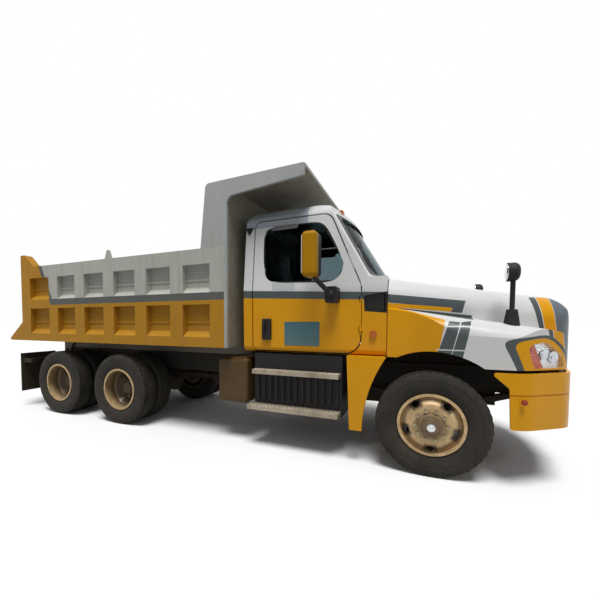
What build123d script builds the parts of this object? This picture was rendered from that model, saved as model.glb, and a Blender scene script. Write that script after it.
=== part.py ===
"""Tandem-axle dump truck: conventional day cab with a sloped tilting hood, box-braced dump body
with a cab canopy, telescopic front hoist, steered front axle and two driven axles on dual wheels.

Millimetres. +X forward, +Y to the driver's left, +Z up. The pieces are laid out from the front
axle (x = 0 over the front axle, z = 0 on the road) and moved to the middle of the length at the end.
"""
from build123d import *

import os
from math import cos, radians, sin

# Overall lengths, measured from the front axle
BUMPER_AHEAD = 1230
TANDEM_BACK = 4040
TANDEM_SPREAD = 1320
TAIL_BACK = 6580
FRONT_AXLE_X = (TAIL_BACK - BUMPER_AHEAD) / 2

# Fits, and how far a cutting tool runs past what it cuts
SEAT_GAP = 0.3
PANEL_GAP = 8
DOOR_GAP = 14
OVERRUN = 5
REACH = 3000

# Tyres and wheels
TYRE_RADIUS = 505
TYRE_WIDTH = 280
TREAD_WIDTH = 220
TYRE_SHOULDER = 8
SIDEWALL_WIDEST_R = 385
SIDEWALL_ROUND = 90
RIM_FLANGE_R = 299
RIM_SEAT_R = 286
RIM_INNER_R = 272
RIM_WIDTH = 236
RIM_FLANGE_WIDTH = 12
DISC_WALL = 14
DISC_FOOT = 60
DISC_FLAT_R = 200
DISC_BORE_R = 100
DISC_DISH = 128
HAND_HOLES = 5
HAND_HOLE_R = 34
HAND_HOLE_PITCH_R = 230
HUB_R = 112
HUB_CAP_R = 78
HUB_FLANGE_R = 140
DRUM_R = 205
DRUM_DEPTH = 190
REAR_DRUM_INSET = 110
FRONT_DRUM_INSET = 70
FRONT_DRUM_DEPTH = 90
FRONT_DRUM_NECK = 130
FRONT_HUB_OUT = 34
FRONT_CAP_OUT = (44, 78, 84)
FRONT_CAP_TAPER = 6
FRONT_BORE_PAST = 4
REAR_HUB_OUT = (20, 95)
REAR_HUB_TAPER = 7
REAR_CAP_OUT = (105, 120)
REAR_BORE_PAST = 60
FRONT_TRACK = 2090
DUAL_OUTER_TRACK = 2140
DUAL_SPACING = 330
AXLE_Z = TYRE_RADIUS

# Ladder frame
RAIL_HALF_WIDTH = 435
RAIL_TOP = 1010
RAIL_DEPTH = 270
RAIL_FLANGE = 80
RAIL_WALL = 12
RAIL_FRONT = 1000
RAIL_REAR = -6150
CROSSMEMBER_WIDTH = 90
CROSSMEMBER_DEPTH = 120
CROSSMEMBER_BACK = (3100, 4000, 5300)
CAB_FOOT_BACK = (1900, 700)
CAB_FOOT_LENGTH = 120
CAB_FOOT_WIDTH = 60
HITCH_SPACING_Y = 85.7
HITCH_SPACING_Z = 44.5
HITCH_HOLE_R = 7
HITCH_Z = 830
HITCH_PLATE = 28
HITCH_INSET = 12

# Front axle and steering
KINGPIN_INSET = 165
KINGPIN_Y = FRONT_TRACK / 2 - KINGPIN_INSET
KINGPIN_R = 20
KINGPIN_EYE_R = 45
KINGPIN_EYE_HEIGHT = 110
BEAM_WIDTH = 100
BEAM_DEPTH = 100
BEAM_DROP = 80
BEAM_BEND_INSET = 240
BEAM_WEB = 30
BEAM_FLANGE = 18
BEAM_END_INSET = 30
BEAM_TOP_INSET = 40
BEAM_TURN = 120
GROOVE_INSET = (20, 50)
SPINDLE_R = 45
STEER_ARM = 190
KNUCKLE_FORK = 60
KNUCKLE_PLATE = 36
KNUCKLE_HALF = 48
KNUCKLE_REACH = 90
KNUCKLE_HEEL = 40
KNUCKLE_CLEAR = 7
SPINDLE_LAP = 30
TIE_ROD_R = 22
TIE_ROD_DROP = 50
TIE_END = 50

# Driven axles, shafts and springs
AXLE_TUBE_R = 75
AXLE_BOWL_R = 205
AXLE_BOWL_WIDTH = 240
AXLE_TUBE_INSET = 130
SPINDLE_PAST = 35
PINION_R = 90
PINION_AHEAD = 290
PINION_BEHIND = 250
SHAFT_Z = 605
SHAFT_R = 52
SHAFT_FLANGE_R = 85
SHAFT_FLANGE = 30
SPRING_REACH = 780
SPRING_EYE = 100
SPRING_Y = 390
SPRING_WIDTH = 90
SPRING_LEAVES = 70
SPRING_TIP = 40
SPRING_TIP_INSET = 20
SPRING_PAD = 80
SPRING_RADII = [0, 0, 900, 0, 0, 0, 300, 300, 0]
BEAM_Y = 380
EQUALISER_WIDTH = 80
EQUALISER_END = 90
EQUALISER_RISE = (60, 110)
EQUALISER_RADII = [0, 0, 20, 60, 0, 0, 60, 20]
SADDLE_FOOT = 160
SADDLE_HEAD = 120

# Engine, gearbox and radiator
ENGINE_FRONT = 640
ENGINE_REAR = -350
ENGINE_HALF = 330
ENGINE_BOTTOM = 580
ENGINE_TOP = 1450
GEARBOX_REAR = -1350
GEARBOX_HALF = 230
GEARBOX_BOTTOM = 480
GEARBOX_TOP = 1000
RADIATOR_X = 800
RADIATOR_DEPTH = 90
RADIATOR_HALF = 420
RADIATOR_TOP = 1500

# Cab
CAB_REAR = -2062
CAB_FLOOR = 1130
CAB_FLOOR_PLATE = 18
CAB_ROOF = 2860
CAB_HALF_WIDTH = 1050
CAB_WALL = 60
CAB_SILL_TUCK = 15
CAB_ROOF_TUCK = 95
CAB_ROOF_EDGE = 130
CAB_ROOF_TURN = 165
CAB_BACK_TURN = (50, 45, 170, 160)
CAB_BACK_RADIUS = 90
CAB_SECTION_RADII = [70, 70, 500, 120, 250, 250, 120, 500]
CAB_SPARE_WIDTH = 1.25
CAB_SPARE_LENGTH = 1.1
COWL_X = -420
COWL_Z = 1960
SCREEN_TOP_X = -890
SCREEN_TOP_Z = CAB_ROOF - 110
SCREEN_BOW = 130
SCREEN_BOW_HALF = 950
SCREEN_SPARE = 40
SCREEN_SPARE_TOP = (30, 9)
ROOF_FALL = 360
BELT_Z = 1850
GLASS_DEPTH = 22
GLASS_THICKNESS = 8

# Doors, windows and cowl vent: outlines in the side view as (x, z), in the front view as (y, z)
DOOR_REAR = -1935
DOOR_FRONT = -680
DOOR_BOTTOM = CAB_FLOOR + 20
DOOR_TOP = CAB_ROOF - 175
DOOR_LEAN = 350
DOOR_SHOULDER = 90
DOOR_HINGE_Y = 1041
DOOR_HINGE_R = 8
DOOR_ROD_ENDS = (DOOR_BOTTOM + 200, COWL_Z - 150)
HINGE_ZS = (DOOR_BOTTOM + 260, COWL_Z - 230)
HINGE_LUG = 40
HINGE_LUG_R = 14
HINGE_CLEAR = 6
WINDOW_BOTTOM = COWL_Z - 10
WINDOW_TOP = DOOR_TOP - 85
DOOR_OUTLINE = [
    (DOOR_REAR, DOOR_BOTTOM), (DOOR_FRONT, DOOR_BOTTOM), (DOOR_FRONT, COWL_Z - DOOR_SHOULDER),
    (DOOR_FRONT - DOOR_LEAN, DOOR_TOP), (DOOR_REAR, DOOR_TOP),
]
DOOR_RADII = [50, 170, 120, 130, 80]
WINDOW_OUTLINE = [
    (DOOR_REAR + 145, WINDOW_BOTTOM + 12), (DOOR_FRONT - 250, WINDOW_BOTTOM - 12),
    (DOOR_FRONT - 178, WINDOW_BOTTOM + 170), (DOOR_FRONT - 445, WINDOW_TOP), (DOOR_REAR + 125, WINDOW_TOP),
]
WINDOW_RADII = [120, 110, 90, 90, 70]
SCREEN_HALF = (905, 815)
SCREEN_MARGIN = (50, 75)
SCREEN_RADIUS = 90
SCREEN_OUTLINE = [
    (-SCREEN_HALF[0], COWL_Z + SCREEN_MARGIN[0]), (SCREEN_HALF[0], COWL_Z + SCREEN_MARGIN[0]),
    (SCREEN_HALF[1], SCREEN_TOP_Z - SCREEN_MARGIN[1]), (-SCREEN_HALF[1], SCREEN_TOP_Z - SCREEN_MARGIN[1]),
]
REAR_WINDOW_HALF = 620
REAR_WINDOW_BOTTOM = COWL_Z + 70
REAR_WINDOW_TOP = CAB_ROOF - 320
REAR_WINDOW_OUTLINE = [
    (-REAR_WINDOW_HALF, REAR_WINDOW_BOTTOM), (REAR_WINDOW_HALF, REAR_WINDOW_BOTTOM),
    (REAR_WINDOW_HALF, REAR_WINDOW_TOP), (-REAR_WINDOW_HALF, REAR_WINDOW_TOP),
]
VENT_OUTLINE = [
    (DOOR_FRONT + 55, COWL_Z - 345), (COWL_X - 15, COWL_Z - 370),
    (COWL_X - 15, COWL_Z - 170), (DOOR_FRONT + 40, COWL_Z - 205),
]
VENT_RADIUS = 18
VENT_DEPTH = 28

# Door mirrors and handles
MIRROR_X = -1205
MIRROR_DEPTH = 155
MIRROR_Y = 1215
MIRROR_WIDTH = 250
MIRROR_Z = COWL_Z - 15
MIRROR_HEIGHT = 455
MIRROR_ROUND = 45
MIRROR_ARM_R = 26
MIRROR_FOOT_X = -1025
MIRROR_FOOT_LENGTH = 130
MIRROR_FOOT_HEIGHT = 170
MIRROR_FOOT_OUT = 150
MIRROR_FOOT_DROP = 85
MIRROR_ARM_INSET = 50
MIRROR_KNEE_R = 1.6 * MIRROR_ARM_R
HANDLE_X = DOOR_REAR + 125
HANDLE_WIDTH = 115
HANDLE_Z = 1275
HANDLE_HEIGHT = 250
HANDLE_OUT = 26

# Cab inside
BOARD_BOTTOM = 1500
BOARD_TOP = COWL_Z - 60
BOARD_DEPTH = 350
BOARD_HALF = 930
BOARD_CLEAR = 1
BOARD_SHELF = 160
BOARD_LIP = (40, 80)
BOARD_BELLY = 200
BOARD_FOOT = 70
BOARD_RADII = [0, 20, 60, 40, 60, 30]
WHEEL_Y = 480
WHEEL_R = 215
WHEEL_ROD_R = 16
WHEEL_TILT = -62
WHEEL_X = -925
WHEEL_DROP = 158
SPOKE_LENGTH = 1.9 * WHEEL_R
COLUMN_R = 28
COLUMN_LENGTH = 230
SEAT_Y = 240
SEAT_WIDTH = 490
SEAT_FRONT = CAB_REAR + 822
SEAT_Z = CAB_FLOOR + 510
SEAT_BACK_Z = CAB_FLOOR + 1160
SEAT_PROFILE = [
    (0, CAB_FLOOR + CAB_FLOOR_PLATE), (0, SEAT_Z), (450, SEAT_Z - 40), (590, SEAT_BACK_Z),
    (690, SEAT_BACK_Z - 10), (600, SEAT_Z - 160), (520, SEAT_Z - 160), (520, CAB_FLOOR + CAB_FLOOR_PLATE),
]
SEAT_RADII = [0, 60, 60, 45, 45, 60, 0, 0]

# Hood: a tapered bonnet between two fenders, and the shared nose
HOOD_WALL = 40
HOOD_BOTTOM = 1066
HOOD_REAR = COWL_X + PANEL_GAP
HOOD_FRONT = BUMPER_AHEAD - 25
HOOD_FALL = 0.16
HOOD_CROWN = 0.015
BONNET_TAPER = 0.22
BONNET_SHOULDER = 230
BONNET_TUCK = 10
BONNET_SKIN = 3
FENDER_HALF = 1165
FENDER_FALL = 0.165
FENDER_DROP = 315
FENDER_SHOULDER = 200
NOSE_LOW = 600
NOSE_CHIN = 1100
NOSE_LEAN = 100
NOSE_CLEAR = 10
NOSE_TOP_ROUND = 260
NOSE_CORNER = 70
NOSE_FLAT = 260
NOSE_PLAN_RADII = [0, 200, 700, 700, 200, 0]
FENDER_PLAN = [
    (150, -FENDER_HALF), (HOOD_FRONT - 505, 15 - FENDER_HALF), (HOOD_FRONT - 120, 325 - FENDER_HALF),
    (HOOD_FRONT, -260),
]
FENDER_FLARE_X = -180
FENDER_FLARE = 10
FENDER_PLAN_RADII = [500, 700, 300, 250, 700]
ARCH_R = 700
GRILLE_Z = 1130
GRILLE_HEIGHT = 400
GRILLE_HALF = (520, 570)
GRILLE_RADIUS = 60
GRILLE_BARS = 6
GRILLE_BAR = 30
GRILLE_FRAME = 24
LAMP_CORNER = (930, -1010)
LAMP_OUTLINE = [(-225, 1288), (-20, 1312), (155, 1185), (190, 1082), (-155, 1082)]
LAMP_RADII = [55, 110, 60, 20, 30]
LAMP_LENS = 8
LAMP_BACK = 30
LAMP_REACH = 350
HOOD_PIVOT_X = HOOD_FRONT - 45
HOOD_PIVOT_Z = 850
HOOD_PIVOT_R = 20
HOOD_EAR_Y = 440
HOOD_EAR = 20
HOOD_EAR_R = 38
HOOD_SLOT = 70
HOOD_SLOT_GAP = PANEL_GAP + 2
HOOD_EAR_HALF = 22
HOOD_BRACKET_INSET = 2

# Mirrors that stand on the fenders
POST_X = 630
POST_Y = 1000
POST_FOOT = (66, 44)
POST_FOOT_HEIGHT = 150
POST_FOOT_TAPER = 9
POST_R = 20
POST_HEAD_R = 84
POST_HEAD_DEPTH = 95
POST_HEAD_Z = 1935

# Bumper
BUMPER_TOP = 1040
BUMPER_BOTTOM = 545
BUMPER_WALL = 25
BUMPER_PROUD = BUMPER_AHEAD - HOOD_FRONT
BUMPER_REAR = 455
BUMPER_STEP_X = 600
BUMPER_STEP_Z = 905
BUMPER_LEAN = 15
BUMPER_RADII = [20, 0, 0, 20, 40]
BUMPER_SEAM_Z = 843
BUMPER_SEAM = 12
BUMPER_SEAM_DEPTH = 10
BUMPER_ARM = (45, 55)

# Tanks, step box, steps and skirts below the cab
TANK_Y = 790
TANK_Z = 720
TANK_R = 300
TANK_REAR = -1930
TANK_LENGTH = 1060
TANK_STRAP = 12
TANK_STRAP_WIDTH = 70
TANK_ROUND = 40
TANK_STRAP_SHARES = (0.22, 0.78)
TANK_HANGER_Y = TANK_Y - 0.75 * TANK_R
TANK_HANGER_Z = (TANK_Z + 40, RAIL_TOP - 50)
OIL_TANK_X = -2420
OIL_TANK_LENGTH = 420
OIL_TANK_Y = 1080
OIL_TANK_WIDTH = 560
OIL_TANK_Z = 480
OIL_TANK_HEIGHT = 560
OIL_TANK_ROUND = 50
OIL_HANGER_INSET = 140
OIL_HANGER_LAP = 40
OIL_HANGER_Z = (OIL_TANK_Z + 300, OIL_TANK_Z + 480)
STEP_BOX_Y = 1000
STEP_BOX_Z = 430
STEP_BOX_RIB = 22
STEP_BOX_RIBS = 13
STEP_BOX_RIB_SHARE = 0.22
STEP_BOX_MARGIN = 50
STEP_BOX_TOP = CAB_FLOOR - 20
STEP_THICK = 46
STEP_LOW_Z = 452
STEP_HIGH_Z = 875
STEP_LOW_Y = 1180
STEP_HIGH_Y = 1150
STEP_DEPTH = 114
STEP_REAR_PAST = 25
STEP_FRONT_INSET = 12
STEP_HIGH_INSET = 55
STEP_POST_X = (-1500, -1300)
STEP_POST = 20
STEP_POST_INSET = 30
STEP_POST_LAP = 20
SKIRT_Y = 1140
SKIRT_WALL = 36
SKIRT_TOP_X = -800
SKIRT_FOOT_X = (-765, -640)
SKIRT_FOOT_Z = 350
SKIRT_BOW = (-575, 770)
SKIRT_FLANGE = 25
SKIRT_FLANGE_Y = 960
SKIRT_FLANGE_INSET = 10

# Mudflaps and lamps
FLAP_X = -6350
FLAP_THICK = 15
FLAP_Y = 560
FLAP_WIDTH = 630
FLAP_BOTTOM = 280
FLAP_TOP = 940
FLAP_ARM_Z = 780
FLAP_ARM = 70
FLAP_ARM_LAP = 2
FLAP_ARM_INSET = 40
FLAP_BEAM_HALF = 30
MARKER_YS = (-620, -310, 0, 310, 620)
MARKER_LENGTH = 110
MARKER_WIDTH = 110
MARKER_RISE = 46
MARKER_ROUND = 14
MARKER_BACK = 60
COWL_LAMP_R = 36
COWL_LAMP_Z = 1363
COWL_LAMP_OUT = 15
COWL_LAMP_IN = 100
TAIL_LAMP = (70, 40, 100)
TAIL_LAMP_Z = 760

# Dump body
BED_REAR = -6230
BED_FRONT = -2205
BED_HALF_WIDTH = 1210
BED_SHEET_Y = 1120
BED_INNER_Y = 1080
BED_BOTTOM = 1170
BED_FLOOR = 1280
BED_FLOOR_PLATE = 30
BED_TOP = 2395
BED_LOW_RAIL = 125
BED_MID_RAIL_Z = 1705
BED_MID_RAIL = 145
BED_LEDGE = 72
BED_TOP_RAIL = 190
BED_POST_WIDTH = 205
BED_REAR_POST = 230
BED_REAR_BAY = 490
BED_BAYS = 5
BED_RAISED_TOP = 2600
BED_RAISED_FOOT = 350
BED_RAISED_HEAD = 110
BED_RAISED_RADII = [0, 0, 20, 20]
BED_PLANK = 12
BED_PLANK_HEIGHT = 26
BED_PLANKS_PER_PANEL = 2
BED_SILL_WIDTH = 90
BED_PIVOT_X = -6100
BED_PIVOT_Z = 950
BED_PIVOT_R = 40
BED_EAR_Y = RAIL_HALF_WIDTH + 15
BED_EAR = 35
BED_EAR_HALF = 70
BED_EAR_DROP = 30
BED_EAR_RUN = 250
BED_EAR_ROUND = 60
BED_LONG_SILL_START = 100
BED_PIVOT_END = RAIL_HALF_WIDTH + 75
BED_LUG_X = -4210
BED_LUG = (140, 40, 130, 30)
APRON_DROP = 40
APRON_DEEP = 80
APRON_STEP = 15
APRON_LIP = 30
GUSSET_RISE = 310
GUSSET = 30
BULKHEAD_WALL = 40

# Canopy over the cab
CANOPY_RISE = 325
CANOPY_TOP = CAB_ROOF + CANOPY_RISE
CANOPY_FRONT = -1250
CANOPY_REAR = -2580
CANOPY_REAR_LEAN = 80
CANOPY_EDGE = 130
CANOPY_FALL = 20
CANOPY_CHEEK = 40
CANOPY_PLATE = 40
CANOPY_EDGE_LEAN = 10
CANOPY_LAP = 20
CANOPY_RADII = [0, 60, 20, 20, 60, 0, 0]
CANOPY_KNEE_X = BED_FRONT + 35
CANOPY_KNEE_DROP = 210
CANOPY_NECK_DROP = 285

# Tailgate
TAILGATE_PIVOT_X = -6205
TAILGATE_PIVOT_Z = 2510
TAILGATE_PIVOT_R = 20
TAILGATE_EAR_R = 45
TAILGATE_EAR = 40
TAILGATE_EAR_HALF = 35
TAILGATE_EAR_INSET = 60
TAILGATE_EAR_FOOT = 60
TAILGATE_PIN_PAST = 25
TAILGATE_GAP = 10
TAILGATE_SHEET = 30
TAILGATE_RIB = 100
TAILGATE_RIB_DEPTH = 72
TAILGATE_RIB_LAP = 2
TAILGATE_RIB_ZS = (BED_FLOOR + TAILGATE_GAP, 1640, 1990, BED_TOP - 110)
TAILGATE_POSTS = 5

# Telescopic hoist and its recess in the bulkhead
HOIST_X = -2420
HOIST_PIVOT_Z = 950
HOIST_PIN_R = 40
HOIST_EYE_Z = 2250
HOIST_EYE_R = 65
HOIST_EYE_HALF = 60
HOIST_BARREL_R = 120
HOIST_STAGE_WALL = 15
HOIST_STAGES = 3
HOIST_STAGE_STEP = 40
HOIST_FLOOR_STEP = 30
HOIST_FLOOR = 25
HOIST_NECK = 160
HOIST_NECK_GAP = 5
HOIST_ROD_INSET = 50
HOIST_PIN_LAP = 2
HOIST_FOOT = 70
HOIST_STAND_Y = 160
HOIST_STAND_LEG = 90
HOIST_STAND_PLATE = 50
HOIST_STAND_HALF = 100
HOIST_STAND_LEG_HALF = 80
HOIST_BOSS_R = 45
HOIST_BOSS_Y = 95
DOGHOUSE_HALF = 230
DOGHOUSE_TOP = BED_TOP
DOGHOUSE_BACK_TOP = -2620
DOGHOUSE_BACK_BOTTOM = -2980
DOGHOUSE_WALL = 30
DOGHOUSE_OPEN = 50
DOGHOUSE_SPLAY = 15


# Shapes

def outline(points, radius=0):
    """Closed flat outline through the points, its corners rounded by one radius or one each."""
    return make_face(FilletPolyline(*points, radius=radius, close=True))


def drawn_in(flat, inset):
    """The flat outline drawn in by inset all round."""
    return offset(flat, amount=-inset) if inset else flat


def prism_x(flat, x0, x1):
    """Prism of a flat (y, z) outline from x0 to x1."""
    return Pos(x0, 0, 0) * extrude(Plane.YZ * flat, amount=x1 - x0, dir=(1, 0, 0))


def prism_y(flat, y0, y1):
    """Prism of a flat (x, z) outline from y0 to y1."""
    return Pos(0, y0, 0) * extrude(Plane.XZ * flat, amount=y1 - y0, dir=(0, 1, 0))


def along_x(points, x0, x1, radius=0):
    """Prism through (y, z) points from x0 to x1."""
    return prism_x(outline(points, radius), x0, x1)


def along_y(points, y0, y1, radius=0):
    """Prism through (x, z) points from y0 to y1."""
    return prism_y(outline(points, radius), y0, y1)


def box(x0, x1, y0, y1, z0, z1):
    """Block between two corners."""
    middle = Pos((x0 + x1) / 2, (y0 + y1) / 2, (z0 + z1) / 2)
    return middle * Box(abs(x1 - x0), abs(y1 - y0), abs(z1 - z0))


def rod_x(y, z, radius, x0, x1):
    return Pos((x0 + x1) / 2, y, z) * Rot(0, 90, 0) * Cylinder(radius, abs(x1 - x0))


def rod_y(x, z, radius, y0, y1):
    return Pos(x, (y0 + y1) / 2, z) * Rot(90, 0, 0) * Cylinder(radius, abs(y1 - y0))


def rod_z(x, y, radius, z0, z1):
    return Pos(x, y, (z0 + z1) / 2) * Cylinder(radius, abs(z1 - z0))


def turned(profile, radius=0):
    """Solid turned about the Y axis from a (radius, y) profile."""
    return revolve(outline(profile, radius), axis=Axis.Y)


def other_side(shape):
    """The same piece on the left of the truck."""
    return mirror(shape, about=Plane.XZ)


def both_sides(shape):
    """A piece on the right and its mirror image on the left."""
    return [shape, other_side(shape)]


def fused(shapes):
    whole = shapes[0]
    for shape in shapes[1:]:
        whole = whole + shape
    return whole


# Wheels

def tyre(y):
    """Tyre with its middle plane at y: bead, round sidewall, shoulder and flat crown."""
    half = TYRE_WIDTH / 2
    crown = TREAD_WIDTH / 2
    bead = RIM_WIDTH / 2 - RIM_FLANGE_WIDTH - SEAT_GAP
    bore = RIM_SEAT_R + SEAT_GAP
    right = [
        (bore, -bead), (RIM_FLANGE_R + SEAT_GAP, -bead), (SIDEWALL_WIDEST_R, -half),
        (TYRE_RADIUS - TYRE_SHOULDER, -crown - TYRE_SHOULDER), (TYRE_RADIUS, -crown),
    ]
    left = [(radius, -offset_y) for radius, offset_y in reversed(right)]
    profile = [(radius, y + offset_y) for radius, offset_y in right + left]
    return turned(profile, [0, 0, SIDEWALL_ROUND, 0, 0, 0, 0, SIDEWALL_ROUND, 0, 0])


def rim_and_disc(y, disc):
    """Rim with its middle plane at y, and the dished disc whose hub face lies at disc."""
    half = RIM_WIDTH / 2
    flange = RIM_FLANGE_WIDTH
    lean = 1 if disc > y else -1
    foot = y + lean * (half - DISC_FOOT)
    wall = lean * DISC_WALL
    rim = turned([
        (RIM_INNER_R, y - half), (RIM_FLANGE_R, y - half), (RIM_FLANGE_R, y - half + flange),
        (RIM_SEAT_R, y - half + flange), (RIM_SEAT_R, y + half - flange), (RIM_FLANGE_R, y + half - flange),
        (RIM_FLANGE_R, y + half), (RIM_INNER_R, y + half),
    ])
    seat = (RIM_INNER_R + RIM_SEAT_R) / 2
    web = turned([
        (seat, foot - wall), (seat, foot + wall), (DISC_FLAT_R, disc),
        (DISC_BORE_R, disc), (DISC_BORE_R, disc - wall), (DISC_FLAT_R - DISC_WALL / 2, disc - wall),
    ], [0, 0, 2 * DISC_WALL, 0, 0, DISC_WALL])
    return rim + web


def hand_holes(y):
    """Round openings through a wheel disc."""
    holes = []
    for i in range(HAND_HOLES):
        turn = radians(90 + 360 / HAND_HOLES * (i + 0.5))
        x = HAND_HOLE_PITCH_R * cos(turn)
        z = HAND_HOLE_PITCH_R * sin(turn)
        holes.append(rod_y(x, z, HAND_HOLE_R, y - DISC_DISH, y + DISC_DISH))
    return holes


def front_wheel():
    """Left steer wheel about its own axle: convex disc, hub with cap, brake drum behind."""
    y = FRONT_TRACK / 2
    face = y + DISC_DISH
    wheel = rim_and_disc(y, face)
    for hole in hand_holes(face):
        wheel = wheel - hole
    bore = SPINDLE_R + SEAT_GAP
    drum = y - FRONT_DRUM_INSET
    back = face - DISC_WALL
    cap_foot, cap_edge, cap_end = FRONT_CAP_OUT
    bore_end = back + FRONT_BORE_PAST
    hub = turned([
        (bore, drum), (DRUM_R, drum), (DRUM_R, drum + FRONT_DRUM_DEPTH),
        (HUB_FLANGE_R, drum + FRONT_DRUM_NECK), (HUB_FLANGE_R, back), (HUB_R, back),
        (HUB_R, face + FRONT_HUB_OUT), (HUB_CAP_R, face + cap_foot),
        (HUB_CAP_R - FRONT_CAP_TAPER, face + cap_edge), (0, face + cap_end), (0, bore_end), (bore, bore_end),
    ])
    return wheel + hub


def rear_wheel():
    """Left pair of dual wheels on one hub about its own axle."""
    outer = DUAL_OUTER_TRACK / 2
    inner = outer - DUAL_SPACING
    middle = (outer + inner) / 2
    pair = rim_and_disc(outer, middle) + rim_and_disc(inner, middle)
    bore = SPINDLE_R + SEAT_GAP
    drum = inner - REAR_DRUM_INSET
    hub_foot, hub_end = REAR_HUB_OUT
    cap_foot, cap_end = REAR_CAP_OUT
    bore_end = middle + REAR_BORE_PAST
    hub = turned([
        (bore, drum), (DRUM_R, drum), (DRUM_R, drum + DRUM_DEPTH), (HUB_FLANGE_R, middle - DISC_WALL),
        (HUB_FLANGE_R, middle + DISC_WALL), (HUB_R, middle + hub_foot),
        (HUB_R - REAR_HUB_TAPER, middle + hub_end), (HUB_CAP_R, middle + cap_foot),
        (HUB_CAP_R, middle + cap_end), (0, middle + cap_end),
        (0, bore_end), (bore, bore_end),
    ])
    return pair + hub


# Frame and running gear

def frame_rails():
    """Two C-section rails, open towards the middle, with the bed's pivot shaft passing through."""
    y1 = RAIL_HALF_WIDTH
    y0 = y1 - RAIL_FLANGE
    z1 = RAIL_TOP
    z0 = z1 - RAIL_DEPTH
    wall = RAIL_WALL
    section = [
        (y0, z0), (y1, z0), (y1, z1), (y0, z1), (y0, z1 - wall), (y1 - wall, z1 - wall),
        (y1 - wall, z0 + wall), (y0, z0 + wall),
    ]
    rail = along_x(section, RAIL_REAR, RAIL_FRONT)
    rail = rail - rod_y(BED_PIVOT_X, BED_PIVOT_Z, BED_PIVOT_R, 0, y1 + OVERRUN)
    return both_sides(rail)


def crossmembers():
    """What ties the rails: plain channels, the hoist's trunnion stand, the hood's pivot tube, the bed's
    pivot shaft, the rear hitch plate and the cab's feet."""
    web = RAIL_HALF_WIDTH - RAIL_WALL
    z0 = RAIL_TOP - RAIL_DEPTH + RAIL_WALL
    z1 = RAIL_TOP - RAIL_WALL
    low = (z0 + z1 - CROSSMEMBER_DEPTH) / 2
    high = low + CROSSMEMBER_DEPTH
    half = CROSSMEMBER_WIDTH / 2
    places = [-back for back in CROSSMEMBER_BACK] + [RAIL_FRONT - CROSSMEMBER_WIDTH]
    pieces = [box(x - half, x + half, -web, web, low, high) for x in places]
    plate = z0 + OVERRUN
    stand_top = plate + HOIST_STAND_PLATE
    stand = box(HOIST_X - HOIST_STAND_HALF, HOIST_X + HOIST_STAND_HALF, -web, web, plate, stand_top)
    for y0 in (HOIST_STAND_Y, -HOIST_STAND_Y - HOIST_STAND_LEG):
        y1 = y0 + HOIST_STAND_LEG
        leg = box(HOIST_X - HOIST_STAND_LEG_HALF, HOIST_X + HOIST_STAND_LEG_HALF, y0, y1,
                  stand_top, RAIL_TOP - OVERRUN)
        leg = leg - rod_y(HOIST_X, HOIST_PIVOT_Z, HOIST_PIN_R + SEAT_GAP, y0 - OVERRUN, y1 + OVERRUN)
        stand = stand + leg
    pieces.append(stand)
    pieces.append(rod_y(BED_PIVOT_X, BED_PIVOT_Z, BED_PIVOT_R, -BED_PIVOT_END, BED_PIVOT_END))
    hitch_x = RAIL_REAR + HITCH_INSET
    hitch = box(hitch_x, hitch_x + HITCH_PLATE, -web, web, z0, HITCH_Z + HITCH_SPACING_Z + 4 * HITCH_HOLE_R)
    for y in (-HITCH_SPACING_Y / 2, HITCH_SPACING_Y / 2):
        for z in (HITCH_Z - HITCH_SPACING_Z / 2, HITCH_Z + HITCH_SPACING_Z / 2):
            hitch = hitch - rod_x(y, z, HITCH_HOLE_R, hitch_x - OVERRUN, hitch_x + HITCH_PLATE + OVERRUN)
    pieces.append(hitch)
    tube_end = HOOD_EAR_Y + HOOD_EAR
    tube = rod_y(HOOD_PIVOT_X, HOOD_PIVOT_Z, HOOD_PIVOT_R, -tube_end, tube_end)
    bracket = 2 * HOOD_PIVOT_R
    for y0 in (RAIL_HALF_WIDTH - bracket - HOOD_BRACKET_INSET, HOOD_BRACKET_INSET - RAIL_HALF_WIDTH):
        tube = tube + box(RAIL_FRONT, HOOD_PIVOT_X + HOOD_PIVOT_R - OVERRUN, y0, y0 + bracket,
                          HOOD_PIVOT_Z - bracket, HOOD_PIVOT_Z + bracket)
    pieces.append(tube)
    foot = box(-CAB_FOOT_LENGTH / 2, CAB_FOOT_LENGTH / 2, RAIL_HALF_WIDTH - OVERRUN - CAB_FOOT_WIDTH,
               RAIL_HALF_WIDTH - OVERRUN, RAIL_TOP, CAB_FLOOR)
    for back in CAB_FOOT_BACK:
        pieces += both_sides(Pos(-back, 0, 0) * foot)
    return pieces


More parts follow.
